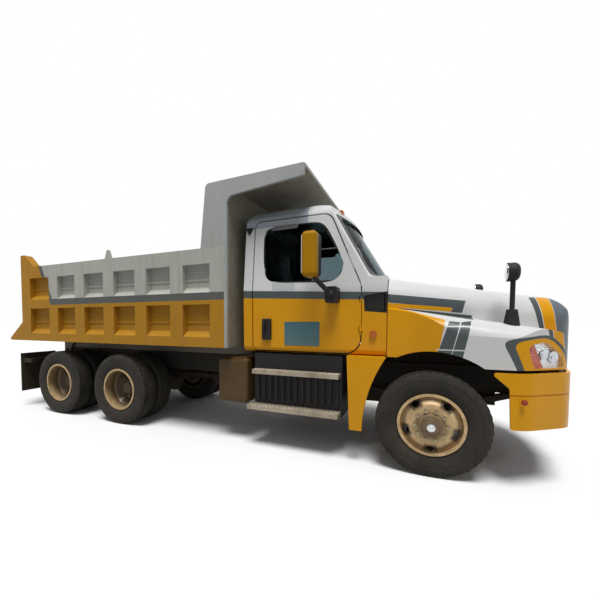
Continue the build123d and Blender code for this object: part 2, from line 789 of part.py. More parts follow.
def front_axle():
    """Dropped I-beam with an eye for each kingpin."""
    end = KINGPIN_Y - BEAM_END_INSET
    bend = KINGPIN_Y - BEAM_BEND_INSET
    half = BEAM_DEPTH / 2 - OVERRUN
    low = AXLE_Z - BEAM_DROP - BEAM_DEPTH / 2
    high = low + BEAM_DEPTH
    top_bend = bend - BEAM_TOP_INSET
    turn = BEAM_TURN
    drop = [
        (-end, AXLE_Z + half), (-end, AXLE_Z - half), (-bend, low), (bend, low),
        (end, AXLE_Z - half), (end, AXLE_Z + half), (top_bend, high), (-top_bend, high),
    ]
    beam = along_x(drop, -BEAM_WIDTH / 2, BEAM_WIDTH / 2, [0, 0, turn, turn, 0, 0, turn, turn])
    groove_low, groove_high = [bend - inset for inset in GROOVE_INSET]
    groove = along_x([
        (-groove_low, low + BEAM_FLANGE), (groove_low, low + BEAM_FLANGE),
        (groove_high, high - BEAM_FLANGE), (-groove_high, high - BEAM_FLANGE),
    ], BEAM_WEB / 2, BEAM_WIDTH / 2 + OVERRUN)
    beam = beam - groove - mirror(groove, about=Plane.YZ)
    eye_half = KINGPIN_EYE_HEIGHT / 2
    eye = rod_z(0, KINGPIN_Y, KINGPIN_EYE_R, AXLE_Z - eye_half, AXLE_Z + eye_half)
    bore = rod_z(0, KINGPIN_Y, KINGPIN_R + SEAT_GAP, 0, 2 * AXLE_Z)
    return fused([beam, eye, other_side(eye)]) - bore - other_side(bore)


def knuckle():
    """Left steering knuckle: fork round the axle's eye, kingpin, spindle and a steering arm to the rear."""
    half = KNUCKLE_HALF
    y0 = KINGPIN_Y - KNUCKLE_HEEL
    y1 = KINGPIN_Y + KNUCKLE_REACH
    low = AXLE_Z - KNUCKLE_FORK
    high = AXLE_Z + KNUCKLE_FORK
    foot = low - KNUCKLE_PLATE
    head = high + KNUCKLE_PLATE
    pin = rod_z(0, KINGPIN_Y, KINGPIN_R, foot, head)
    upper = box(-half, half, y0, y1, high, head)
    lower = box(-half, half, y0, y1, foot, low)
    back = box(-half, half, KINGPIN_Y + KINGPIN_EYE_R + KNUCKLE_CLEAR, y1, foot, head)
    spindle_end = FRONT_TRACK / 2 + DISC_DISH - 2 * DISC_WALL
    spindle = rod_y(0, AXLE_Z, SPINDLE_R, y1 - SPINDLE_LAP, spindle_end)
    arm = box(-STEER_ARM - TIE_END / 2, 0, y0, y0 + TIE_END, foot, low - PANEL_GAP)
    return fused([pin, upper, lower, back, spindle, arm])


def tie_rod():
    """Tube under the two steering arms, with an end block below each."""
    top = AXLE_Z - KNUCKLE_FORK - KNUCKLE_PLATE - SEAT_GAP
    y0 = KINGPIN_Y - KNUCKLE_HEEL
    rod = rod_y(-STEER_ARM, top - TIE_ROD_DROP, TIE_ROD_R, -y0, y0)
    end = box(-STEER_ARM - TIE_END / 2, -STEER_ARM + TIE_END / 2, y0 - OVERRUN, y0 + TIE_END - OVERRUN,
              top - TIE_ROD_DROP - TIE_END / 2, top)
    return fused([rod, end, other_side(end)])


def rear_axle(x):
    """Driven axle: tubes to the spindles, round differential housing and a pinion nose to front and rear."""
    inner = DUAL_OUTER_TRACK / 2 - DUAL_SPACING
    tube_end = inner - AXLE_TUBE_INSET
    spindle_end = inner + DUAL_SPACING / 2 + SPINDLE_PAST
    tube = rod_y(x, AXLE_Z, AXLE_TUBE_R, -tube_end, tube_end)
    spindle = rod_y(x, AXLE_Z, SPINDLE_R, -spindle_end, spindle_end)
    bowl = rod_x(0, AXLE_Z, AXLE_BOWL_R, x - AXLE_BOWL_WIDTH / 2, x + AXLE_BOWL_WIDTH / 2)
    nose = rod_x(0, SHAFT_Z, PINION_R, x - PINION_BEHIND, x + PINION_AHEAD)
    return fused([tube, spindle, bowl, nose])


def drive_shafts():
    """Propeller shaft from the gearbox to the first driven axle and a short one between the axles."""
    last = TANDEM_BACK + TANDEM_SPREAD
    runs = [(PINION_AHEAD - TANDEM_BACK, GEARBOX_REAR), (PINION_AHEAD - last, -TANDEM_BACK - PINION_BEHIND)]
    shafts = []
    for x0, x1 in runs:
        shaft = rod_x(0, SHAFT_Z, SHAFT_R, x0, x1)
        rear = rod_x(0, SHAFT_Z, SHAFT_FLANGE_R, x0, x0 + SHAFT_FLANGE)
        front = rod_x(0, SHAFT_Z, SHAFT_FLANGE_R, x1 - SHAFT_FLANGE, x1)
        shafts.append(fused([shaft, rear, front]))
    return shafts


def springs():
    """Front leaf packs on the axle beam and the rear equaliser beams with their saddles."""
    rail = RAIL_TOP - RAIL_DEPTH
    seat = AXLE_Z - BEAM_DROP + BEAM_DEPTH / 2 + SEAT_GAP
    end = rail - SEAT_GAP
    tip = end - SPRING_TIP
    reach = SPRING_REACH
    pad = reach - SPRING_PAD
    pack = along_y([
        (-reach, end), (-pad, end), (0, seat + SPRING_LEAVES), (pad, end), (reach, end),
        (reach - SPRING_TIP_INSET, tip), (BEAM_WIDTH, seat), (-BEAM_WIDTH, seat),
        (SPRING_TIP_INSET - reach, tip),
    ], SPRING_Y, SPRING_Y + SPRING_WIDTH, SPRING_RADII)
    for x in (-reach, reach - SPRING_EYE):
        pack = pack + box(x, x + SPRING_EYE, SPRING_Y, SPRING_Y + SPRING_WIDTH, tip + SPRING_TIP / 2, rail)
    mid = -TANDEM_BACK - TANDEM_SPREAD / 2
    end = TANDEM_SPREAD / 2 + EQUALISER_END
    low = AXLE_Z + AXLE_TUBE_R
    end_top, mid_top = [low + rise for rise in EQUALISER_RISE]
    beam = along_y([
        (mid - end, low), (mid + end, low), (mid + end, end_top), (mid + SADDLE_FOOT, mid_top),
        (mid + SADDLE_HEAD, rail), (mid - SADDLE_HEAD, rail), (mid - SADDLE_FOOT, mid_top),
        (mid - end, end_top),
    ], BEAM_Y, BEAM_Y + EQUALISER_WIDTH, EQUALISER_RADII)
    return both_sides(pack) + both_sides(beam)


def engine():
    """Engine and gearbox as one plain block, with the radiator ahead of it as a second one."""
    block = box(ENGINE_REAR, ENGINE_FRONT, -ENGINE_HALF, ENGINE_HALF, ENGINE_BOTTOM, ENGINE_TOP)
    gearbox = box(GEARBOX_REAR, ENGINE_REAR, -GEARBOX_HALF, GEARBOX_HALF, GEARBOX_BOTTOM, GEARBOX_TOP)
    radiator = box(RADIATOR_X, RADIATOR_X + RADIATOR_DEPTH, -RADIATOR_HALF, RADIATOR_HALF,
                   RAIL_TOP, RADIATOR_TOP)
    return [block + gearbox, radiator]


# Cab

def cab_volume(inset):
    """Cab body, drawn in by inset: side outline and cross-section, cut back to the bowed screen."""
    turn_x, turn_z, roof_x, back_z = CAB_BACK_TURN
    spare_x, spare_z = SCREEN_SPARE_TOP
    side = outline([
        (CAB_REAR, CAB_FLOOR), (COWL_X, CAB_FLOOR), (COWL_X, COWL_Z + SCREEN_SPARE),
        (SCREEN_TOP_X + spare_x, SCREEN_TOP_Z - spare_z),
        (SCREEN_TOP_X - ROOF_FALL, CAB_ROOF), (CAB_REAR + roof_x, CAB_ROOF),
        (CAB_REAR + turn_x, CAB_ROOF - turn_z), (CAB_REAR, CAB_ROOF - back_z),
    ], [0, 0, 0, 0, 0, 0, CAB_BACK_RADIUS, CAB_BACK_RADIUS])
    half = CAB_HALF_WIDTH
    eave = half - CAB_ROOF_TUCK
    roof = eave - CAB_ROOF_TURN
    section = outline([
        (CAB_SILL_TUCK - half, CAB_FLOOR), (half - CAB_SILL_TUCK, CAB_FLOOR), (half, BELT_Z),
        (eave, CAB_ROOF - CAB_ROOF_EDGE), (roof, CAB_ROOF), (-roof, CAB_ROOF),
        (-eave, CAB_ROOF - CAB_ROOF_EDGE), (-half, BELT_Z),
    ], CAB_SECTION_RADII)
    bow_r = (SCREEN_BOW_HALF ** 2 + SCREEN_BOW ** 2) / (2 * SCREEN_BOW)
    wide = CAB_SPARE_WIDTH * CAB_HALF_WIDTH
    edge = (bow_r ** 2 - wide ** 2) ** 0.5 - bow_r
    back = CAB_SPARE_LENGTH * CAB_REAR
    screen = make_face([
        Line((back, -wide), (edge, -wide)),
        ThreePointArc((edge, -wide), (0, 0), (edge, wide)),
        Line((edge, wide), (back, wide)),
        Line((back, wide), (back, -wide)),
    ])
    slope = Vector(SCREEN_TOP_X - COWL_X, 0, SCREEN_TOP_Z - COWL_Z)
    glass_plane = Plane(origin=(COWL_X, 0, COWL_Z), x_dir=(slope.Z, 0, -slope.X), z_dir=slope)
    body = prism_y(drawn_in(side, inset), -wide, wide) & prism_x(drawn_in(section, inset), -REACH, 0)
    ahead = box(SCREEN_TOP_X - 2 * ROOF_FALL, 0, -wide, wide, COWL_Z - inset, CAB_ROOF + REACH)
    return body - (ahead - extrude(glass_plane * drawn_in(screen, inset), amount=REACH, both=True))


def right_side(points, radii, grow=0):
    """Prism of a side-view outline, grown by a gap, through the right side of the cab."""
    return prism_y(drawn_in(outline(points, radii), -grow), -REACH, -CAB_HALF_WIDTH * 2 / 3)


def cab_pieces():
    """Hollow cab split where the panels meet: shell, fixed glass, and the right door with its glass."""
    outer = cab_volume(0)
    inner = cab_volume(CAB_WALL)
    pane = cab_volume(GLASS_DEPTH) - cab_volume(GLASS_DEPTH + GLASS_THICKNESS)
    side = CAB_HALF_WIDTH - CAB_WALL - CAB_SILL_TUCK - OVERRUN
    floor_top = CAB_FLOOR + CAB_FLOOR_PLATE
    floor_room = box(CAB_REAR + CAB_WALL, COWL_X - CAB_WALL, -side, side,
                     floor_top, CAB_FLOOR + CAB_WALL + OVERRUN)
    wall = outer - inner - floor_room
    doorway = right_side(DOOR_OUTLINE, DOOR_RADII, DOOR_GAP)
    window = right_side(WINDOW_OUTLINE, WINDOW_RADII)
    vent = right_side(VENT_OUTLINE, VENT_RADIUS) - cab_volume(VENT_DEPTH)
    screen = outline(SCREEN_OUTLINE, SCREEN_RADIUS)
    rear = outline(REAR_WINDOW_OUTLINE, SCREEN_RADIUS)
    middle = (CAB_REAR + SCREEN_TOP_X) / 2
    shell = wall - prism_x(screen, middle, 0) - prism_x(rear, -REACH, middle)
    for opening in (doorway, vent):
        shell = shell - opening - other_side(opening)
    door = (wall & right_side(DOOR_OUTLINE, DOOR_RADII)) - window
    for z in HINGE_ZS:
        low, high = z - HINGE_LUG / 2, z + HINGE_LUG / 2
        lug = box(DOOR_FRONT, DOOR_FRONT + 2 * DOOR_GAP, -DOOR_HINGE_Y - DOOR_HINGE_R,
                  DOOR_HINGE_R - DOOR_HINGE_Y, low, high)
        lug = lug + rod_z(DOOR_FRONT, -DOOR_HINGE_Y, HINGE_LUG_R, low, high)
        lug = lug - rod_z(DOOR_FRONT, -DOOR_HINGE_Y, DOOR_HINGE_R + SEAT_GAP, low - OVERRUN, high + OVERRUN)
        shell = shell + lug + other_side(lug)
        back = DOOR_FRONT - HINGE_LUG_R - HINGE_CLEAR
        door = door - box(back, 0, -REACH, 0, low - HINGE_CLEAR, high + HINGE_CLEAR)
    door = door + rod_z(DOOR_FRONT, -DOOR_HINGE_Y, DOOR_HINGE_R, *DOOR_ROD_ENDS)
    door_glass = pane & right_side(WINDOW_OUTLINE, WINDOW_RADII, -SEAT_GAP)
    fixed = [
        pane & prism_x(drawn_in(screen, SEAT_GAP), middle, 0),
        pane & prism_x(drawn_in(rear, SEAT_GAP), -REACH, middle),
    ]
    return shell, fixed, door, door_glass, outer


def door_fittings(cab_outer):
    """Right mirror: deep rounded head on a slanted arm from a foot on the door, and the door's handle."""
    skin = CAB_HALF_WIDTH - SEAT_GAP
    head = box(MIRROR_X, MIRROR_X + MIRROR_DEPTH, -MIRROR_Y - MIRROR_WIDTH, -MIRROR_Y,
               MIRROR_Z, MIRROR_Z + MIRROR_HEIGHT)
    head = fillet(head.edges(), MIRROR_ROUND)
    foot_z = MIRROR_Z - MIRROR_FOOT_HEIGHT - MIRROR_FOOT_DROP
    foot = box(MIRROR_FOOT_X, MIRROR_FOOT_X + MIRROR_FOOT_LENGTH, -skin - MIRROR_FOOT_OUT, CAB_WALL - skin,
               foot_z, foot_z + MIRROR_FOOT_HEIGHT)
    foot = fillet(foot.edges().filter_by(Axis.Y), MIRROR_ARM_R)
    low = Vector(MIRROR_FOOT_X + MIRROR_FOOT_LENGTH / 2, -skin - MIRROR_FOOT_OUT,
                 foot_z + MIRROR_FOOT_HEIGHT / 2)
    high = Vector(MIRROR_X + MIRROR_DEPTH - MIRROR_ARM_INSET, -MIRROR_Y - MIRROR_WIDTH / 2,
                  MIRROR_Z - SEAT_GAP)
    lean = high - low
    arm = extrude(Plane(origin=low, z_dir=lean) * Circle(MIRROR_ARM_R), amount=lean.length, dir=lean)
    knee = Pos(*low) * Sphere(MIRROR_KNEE_R)
    arm = fused([arm, knee, foot]) - box(-REACH, 0, -REACH, 0, MIRROR_Z - SEAT_GAP, REACH) - cab_outer
    handle = box(HANDLE_X, HANDLE_X + HANDLE_WIDTH, -skin - HANDLE_OUT, CAB_WALL - skin,
                 HANDLE_Z, HANDLE_Z + HANDLE_HEIGHT)
    return [head, arm, fillet(handle.edges(), HANDLE_OUT / 2) - cab_outer]


def cab_inside():
    """Dashboard with the steering wheel on the driver's side."""
    face = COWL_X - CAB_WALL - BOARD_CLEAR
    rear = face - BOARD_DEPTH
    lip_x, lip_z = BOARD_LIP
    board = along_y([
        (face, BOARD_BOTTOM), (face, BOARD_TOP), (face - BOARD_SHELF, BOARD_TOP),
        (rear + lip_x, BOARD_TOP - lip_z), (rear, BOARD_TOP - BOARD_BELLY), (rear + BOARD_FOOT, BOARD_BOTTOM),
    ], -BOARD_HALF, BOARD_HALF, BOARD_RADII)
    tilt = Rot(0, WHEEL_TILT, 0)
    centre = Pos(WHEEL_X, WHEEL_Y, BOARD_TOP - WHEEL_DROP)
    spokes = Box(SPOKE_LENGTH, 2 * WHEEL_ROD_R, WHEEL_ROD_R)
    spokes = spokes + Box(2 * WHEEL_ROD_R, SPOKE_LENGTH, WHEEL_ROD_R)
    wheel = centre * tilt * (Torus(WHEEL_R, WHEEL_ROD_R) + spokes)
    column = centre * tilt * Pos(0, 0, -COLUMN_LENGTH / 2) * Cylinder(COLUMN_R, COLUMN_LENGTH)
    return (board & cab_volume(CAB_WALL + BOARD_CLEAR)) + column + wheel


def seats():
    """Two bucket seats on boxes."""
    profile = [(SEAT_FRONT - back, z) for back, z in SEAT_PROFILE]
    return both_sides(along_y(profile, SEAT_Y, SEAT_Y + SEAT_WIDTH, SEAT_RADII))


# Hood and bumper

def fender_plan(rear):
    """Hood seen from above, from its rear edge round the flared fenders to the bowed nose."""
    right = [(rear, -CAB_HALF_WIDTH), (FENDER_FLARE_X, -CAB_HALF_WIDTH - FENDER_FLARE)] + FENDER_PLAN
    left = [(x, -y) for x, y in reversed(right)]
    radii = FENDER_PLAN_RADII + FENDER_PLAN_RADII[::-1]
    return outline(right + left, [0] + radii + [0])


def nose_side(rear, top, fall):
    """Side view of the nose under a top that falls from a height at the cowl."""
    def crest(x):
        return top - BONNET_SKIN - fall * (x - COWL_X)
    lean = HOOD_FRONT - NOSE_LEAN
    chin = HOOD_FRONT + NOSE_CLEAR
    back = rear - HOOD_WALL
    return outline([
        (back, NOSE_LOW), (chin, NOSE_LOW), (chin, NOSE_CHIN), (lean, crest(lean)), (back, crest(back)),
    ], [0, 0, 0, NOSE_TOP_ROUND, 0])


def bonnet(inset, rear):
    """Middle of the hood: the run of its right shoulder and the mirrored one, closing in to the nose."""
    up = Vector(HOOD_FALL, -HOOD_CROWN, 1)
    heading = Vector(1, BONNET_TAPER, HOOD_CROWN * BONNET_TAPER - HOOD_FALL)
    start = Plane(origin=(COWL_X, 0, COWL_Z), x_dir=up.cross(heading), z_dir=heading)
    half = CAB_HALF_WIDTH / (1 + BONNET_TAPER ** 2) ** 0.5
    upright = BONNET_TAPER * HOOD_FALL * COWL_Z
    section = outline([
        (-half - upright, -COWL_Z), (REACH, -COWL_Z), (REACH, 0), (BONNET_TUCK - half, 0),
    ], [0, 0, 0, BONNET_SHOULDER])
    right = extrude(start * drawn_in(section, inset), amount=REACH, both=True)
    tip = HOOD_FRONT - NOSE_CORNER
    edge = CAB_HALF_WIDTH - BONNET_SKIN
    side = [(rear, -edge + BONNET_TAPER * (rear - COWL_X)), (tip, -edge + BONNET_TAPER * (tip - COWL_X)),
            (HOOD_FRONT, -NOSE_FLAT)]
    plan = outline(side + [(x, -y) for x, y in reversed(side)], NOSE_PLAN_RADII)
    nose = nose_side(rear, COWL_Z, HOOD_FALL)
    body = right & other_side(right) & extrude(drawn_in(plan, inset), amount=REACH, dir=(0, 0, 1))
    return body & prism_y(drawn_in(nose, inset), -REACH, REACH)


def fenders(inset, rear):
    """Fenders with their shelf on either side of the bonnet, run right across the nose."""
    top = COWL_Z - FENDER_DROP
    heading = Vector(1, 0, -FENDER_FALL)
    start = Plane(origin=(COWL_X, 0, top), x_dir=(0, 1, 0), z_dir=heading)
    section = outline([
        (-FENDER_HALF, -top), (FENDER_HALF, -top), (FENDER_HALF, 0), (-FENDER_HALF, 0),
    ], [0, 0, FENDER_SHOULDER, FENDER_SHOULDER])
    body = extrude(start * drawn_in(section, inset), amount=REACH, both=True)
    body = body & extrude(drawn_in(fender_plan(rear), inset), amount=REACH, dir=(0, 0, 1))
    return body & prism_y(drawn_in(nose_side(rear, top, FENDER_FALL), inset), -REACH, REACH)


def hood_volume(inset, rear=HOOD_REAR):
    """Hood body drawn in by inset."""
    return bonnet(inset, rear) + fenders(inset, rear)


def lamp_prism(grow):
    """Right headlamp's outline run through the corner of the nose at 45 degrees."""
    across = Plane(origin=(*LAMP_CORNER, 0), x_dir=(1, 1, 0), z_dir=(1, -1, 0))
    return extrude(across * drawn_in(outline(LAMP_OUTLINE, LAMP_RADII), -grow), amount=LAMP_REACH, both=True)


def hood_pieces():
    """Hood shell with wheel arches, pivot ears and openings, the grille, right headlamp lens and back."""
    outer = hood_volume(0)
    wall = outer - hood_volume(HOOD_WALL, COWL_X - 2 * HOOD_WALL)
    wall = wall - box(COWL_X, HOOD_FRONT + OVERRUN, -REACH, REACH, 0, HOOD_BOTTOM)
    wall = wall - rod_y(0, AXLE_Z, ARCH_R, -REACH, REACH) - box(COWL_X, 0, -REACH, REACH, 0, CAB_FLOOR)
    low, high = GRILLE_HALF
    grille_top = GRILLE_Z + GRILLE_HEIGHT
    grille_flat = outline([
        (-low, GRILLE_Z), (low, GRILLE_Z), (high, grille_top), (-high, grille_top),
    ], GRILLE_RADIUS)
    grille_cut = prism_x(grille_flat, RADIATOR_X, REACH)
    lamp = lamp_prism(0)
    shell = wall - grille_cut - lamp - other_side(lamp)
    ear_top = HOOD_BOTTOM + HOOD_WALL
    ear = box(HOOD_PIVOT_X - HOOD_EAR_HALF, HOOD_PIVOT_X + HOOD_EAR_HALF, HOOD_EAR_Y, HOOD_EAR_Y + HOOD_EAR,
              HOOD_PIVOT_Z, ear_top)
    ear = ear + rod_y(HOOD_PIVOT_X, HOOD_PIVOT_Z, HOOD_EAR_R, HOOD_EAR_Y, HOOD_EAR_Y + HOOD_EAR)
    ear = ear - rod_y(HOOD_PIVOT_X, HOOD_PIVOT_Z, HOOD_PIVOT_R + SEAT_GAP, 0, REACH)
    ear = ear & (outer + box(0, REACH, 0, REACH, 0, HOOD_BOTTOM))
    shell = shell + ear + other_side(ear)
    insert = wall & prism_x(drawn_in(grille_flat, SEAT_GAP), RADIATOR_X, REACH)
    pitch = (GRILLE_HEIGHT - GRILLE_FRAME) / GRILLE_BARS
    for i in range(GRILLE_BARS):
        z = GRILLE_Z + GRILLE_FRAME + pitch * i
        insert = insert - box(RADIATOR_X, REACH, GRILLE_FRAME - low, low - GRILLE_FRAME,
                              z, z + pitch - GRILLE_BAR)
    seat = wall & lamp_prism(-SEAT_GAP)
    lens = seat - hood_volume(LAMP_LENS, COWL_X)
    back = seat & hood_volume(LAMP_BACK, COWL_X)
    return shell, insert, lens, back


def fender_mirror(outer):
    """Right fender mirror: oval foot on the fender's shelf, post and a round head that faces the driver."""
    wide, deep = POST_FOOT
    foot_z = COWL_Z - FENDER_DROP - FENDER_FALL * (POST_X - COWL_X)
    place = Pos(POST_X, -POST_Y, foot_z - POST_R)
    foot = extrude(place * Ellipse(wide, deep), amount=POST_FOOT_HEIGHT, taper=POST_FOOT_TAPER) - outer
    post = rod_z(POST_X, -POST_Y, POST_R, foot_z + POST_FOOT_HEIGHT / 2, POST_HEAD_Z)
    rear = POST_X - POST_HEAD_DEPTH / 2
    head = rod_x(-POST_Y, POST_HEAD_Z, POST_HEAD_R, rear, rear + POST_HEAD_DEPTH)
    head = fillet(head.edges().sort_by(Axis.X)[-1], POST_HEAD_DEPTH / 2)
    return fused([foot, post, head])


def bumper():
    """Deep wrap-round bumper that follows the hood, with a seam, slots for the hood's ears and two arms."""
    plan = offset(fender_plan(HOOD_REAR), amount=BUMPER_PROUD)
    shell = extrude(plan, amount=COWL_Z, dir=(0, 0, 1))
    shell = shell - extrude(drawn_in(plan, BUMPER_WALL), amount=COWL_Z, dir=(0, 0, 1))
    seam = extrude(plan, amount=BUMPER_SEAM, dir=(0, 0, 1))
    seam = seam - extrude(drawn_in(plan, BUMPER_SEAM_DEPTH), amount=BUMPER_SEAM, dir=(0, 0, 1))
    shell = shell - Pos(0, 0, BUMPER_SEAM_Z) * seam
    side = [
        (BUMPER_REAR, BUMPER_TOP), (REACH, BUMPER_TOP), (REACH, BUMPER_BOTTOM),
        (BUMPER_STEP_X + BUMPER_LEAN, BUMPER_BOTTOM), (BUMPER_STEP_X, BUMPER_STEP_Z),
    ]
    shell = shell & along_y(side, -REACH, REACH, BUMPER_RADII)
    gap = HOOD_SLOT_GAP
    slot = box(HOOD_PIVOT_X - HOOD_EAR_R - gap, REACH,
               HOOD_EAR_Y - HOOD_SLOT - gap, HOOD_EAR_Y + HOOD_EAR + gap,
               HOOD_PIVOT_Z - HOOD_EAR_R - gap, BUMPER_TOP + OVERRUN)
    wide, high = BUMPER_ARM
    foot = RAIL_TOP - RAIL_DEPTH
    arm = box(RAIL_FRONT, REACH, RAIL_HALF_WIDTH - wide, RAIL_HALF_WIDTH, foot, foot + high)
    arm = arm & extrude(drawn_in(plan, OVERRUN), amount=COWL_Z, dir=(0, 0, 1))
    return shell - slot - other_side(slot) + arm + other_side(arm)


# Cab sides below the floor

def tanks():
    """Left fuel tank on two straps, and the square oil tank behind the cab on the right."""
    front = TANK_REAR + TANK_LENGTH
    drum = rod_x(TANK_Y, TANK_Z, TANK_R, TANK_REAR, front)
    drum = fillet(drum.edges().filter_by(GeomType.CIRCLE), TANK_ROUND)
    half = TANK_STRAP_WIDTH / 2
    for share in TANK_STRAP_SHARES:
        x = TANK_REAR + share * TANK_LENGTH
        drum = drum + rod_x(TANK_Y, TANK_Z, TANK_R + TANK_STRAP, x - half, x + half)
        drum = drum + box(x - half, x + half, RAIL_HALF_WIDTH, TANK_HANGER_Y, *TANK_HANGER_Z)
    drum = drum - box(TANK_REAR - OVERRUN, front + OVERRUN, 0, RAIL_HALF_WIDTH, 0, RAIL_TOP)
    oil_front = OIL_TANK_X + OIL_TANK_LENGTH
    inner = OIL_TANK_WIDTH - OIL_TANK_Y
    oil = box(OIL_TANK_X, oil_front, -OIL_TANK_Y, inner, OIL_TANK_Z, OIL_TANK_Z + OIL_TANK_HEIGHT)
    oil = fillet(oil.edges(), OIL_TANK_ROUND)
    oil = oil + box(OIL_TANK_X + OIL_HANGER_INSET, oil_front - OIL_HANGER_INSET,
                    inner - OIL_HANGER_LAP, -RAIL_HALF_WIDTH, *OIL_HANGER_Z)
    return [drum, oil]


def step_box():
    """Dark box behind the right steps with upright ribs."""
    front = TANK_REAR + TANK_LENGTH
    body = box(TANK_REAR, front, -STEP_BOX_Y, -RAIL_HALF_WIDTH, STEP_BOX_Z, STEP_BOX_TOP)
    pitch = (TANK_LENGTH - 2 * STEP_BOX_MARGIN) / (STEP_BOX_RIBS - 1)
    rib = STEP_BOX_RIB_SHARE * pitch
    for i in range(STEP_BOX_RIBS):
        x = TANK_REAR + STEP_BOX_MARGIN + pitch * i
        body = body + box(x - rib, x + rib, -STEP_BOX_Y - STEP_BOX_RIB, -STEP_BOX_Y,
                          STEP_LOW_Z + 2 * STEP_THICK, STEP_HIGH_Z - OVERRUN)
    return body


def steps():
    """Two treads on each side: right ones on the box, left ones on plates from the tank."""
    rear = TANK_REAR - STEP_REAR_PAST
    front = TANK_REAR + TANK_LENGTH - STEP_FRONT_INSET
    right = []
    left = []
    for y, z, x in ((STEP_LOW_Y, STEP_LOW_Z, rear), (STEP_HIGH_Y, STEP_HIGH_Z, rear + STEP_HIGH_INSET)):
        right.append(box(x, front, -y, -STEP_BOX_Y, z, z + STEP_THICK))
        left.append(box(x, front, y - STEP_DEPTH, y, z, z + STEP_THICK))
    strapped = rod_x(TANK_Y, TANK_Z, TANK_R + TANK_STRAP + SEAT_GAP, rear - OVERRUN, front + TANK_LENGTH)
    drum = rod_x(TANK_Y, TANK_Z, TANK_R + SEAT_GAP, rear - OVERRUN, front + TANK_LENGTH)
    treads = fused(left) - strapped
    posts = [
        box(x, x + STEP_POST, TANK_Y + STEP_DEPTH, STEP_HIGH_Y - STEP_POST_INSET,
            STEP_LOW_Z + STEP_POST_LAP, STEP_HIGH_Z + STEP_POST_LAP) - drum
        for x in STEP_POST_X
    ]
    return right + [fused([treads] + posts)]


def quarter_fenders():
    """Painted skirts that close the front arch towards the cab, hung from the cab's floor."""
    rear_foot, front_foot = SKIRT_FOOT_X
    top_x = COWL_X + PANEL_GAP
    skin = make_face([
        Line((SKIRT_TOP_X, CAB_FLOOR), (top_x, CAB_FLOOR)),
        ThreePointArc((top_x, CAB_FLOOR), SKIRT_BOW, (front_foot, SKIRT_FOOT_Z)),
        Line((front_foot, SKIRT_FOOT_Z), (rear_foot, SKIRT_FOOT_Z)),
        Line((rear_foot, SKIRT_FOOT_Z), (SKIRT_TOP_X, CAB_FLOOR)),
    ])
    inner = SKIRT_WALL - SKIRT_Y
    skirt = prism_y(skin, -SKIRT_Y, inner)
    skirt = skirt + box(SKIRT_TOP_X, COWL_X - SKIRT_FLANGE_INSET, inner, -SKIRT_FLANGE_Y,
                        CAB_FLOOR - SKIRT_FLANGE, CAB_FLOOR)
    return both_sides(skirt)


def mudflaps():
    """Rubber flaps behind the last duals on arms from the rails."""
    outer = FLAP_Y + FLAP_WIDTH
    flap = box(FLAP_X, FLAP_X + FLAP_THICK, -outer, -FLAP_Y, FLAP_BOTTOM, FLAP_TOP)
    arm_end = FLAP_X + FLAP_THICK - FLAP_ARM_LAP
    beam_rear, beam_front = RAIL_REAR - FLAP_BEAM_HALF, RAIL_REAR + FLAP_BEAM_HALF
    arm_y = FLAP_ARM_INSET - outer
    arm_top = FLAP_ARM_Z + FLAP_ARM
    arm = box(arm_end, beam_front, arm_y, arm_y + FLAP_ARM, FLAP_ARM_Z, arm_top)
    beam = box(beam_rear, beam_front, arm_y, -RAIL_HALF_WIDTH, FLAP_ARM_Z, arm_top)
    inner = box(arm_end, beam_front, -FLAP_Y - FLAP_ARM, -FLAP_Y, FLAP_ARM_Z, arm_top)
    return both_sides(fused([flap, arm, beam, inner]))


def lamps(cab_outer):
    """Roof markers, cowl lamps and tail lamps."""
    pieces = []
    front = SCREEN_TOP_X - MARKER_BACK
    for y in MARKER_YS:
        marker = box(front - MARKER_LENGTH, front, y - MARKER_WIDTH / 2, y + MARKER_WIDTH / 2,
                     SCREEN_TOP_Z - MARKER_LENGTH, SCREEN_TOP_Z + MARKER_RISE)
        pieces.append(fillet(marker.edges(), MARKER_ROUND) - cab_outer)
    cowl = rod_y((DOOR_FRONT + COWL_X) / 2, COWL_LAMP_Z, COWL_LAMP_R,
                 -CAB_HALF_WIDTH - COWL_LAMP_OUT, COWL_LAMP_IN - CAB_HALF_WIDTH)
    pieces += both_sides(cowl - cab_outer)
    width, deep, high = TAIL_LAMP
    tail = box(RAIL_REAR - deep, RAIL_REAR, -RAIL_HALF_WIDTH + OVERRUN, -RAIL_HALF_WIDTH + OVERRUN + width,
               TAIL_LAMP_Z, TAIL_LAMP_Z + high)
    return pieces + both_sides(tail)


# Dump body

def bed_posts():
    """Rear face and width of each upright post along one side, rear to front."""
    second = BED_REAR + BED_REAR_POST + BED_REAR_BAY
    last = BED_FRONT - BULKHEAD_WALL - BED_POST_WIDTH
    even = [(second + (last - second) * i / BED_BAYS, BED_POST_WIDTH) for i in range(BED_BAYS + 1)]
    return [(BED_REAR, BED_REAR_POST)] + even


def ledged_rail(z, height):
    """Long rail of the bed's right side: upright face with a sloped ledge up to the sheet."""
    section = [
        (-BED_INNER_Y, z), (-BED_HALF_WIDTH, z), (-BED_HALF_WIDTH, z + height),
        (-BED_SHEET_Y, z + height + BED_LEDGE), (-BED_INNER_Y, z + height + BED_LEDGE),
    ]
    return along_x(section, BED_REAR, BED_FRONT - BULKHEAD_WALL)


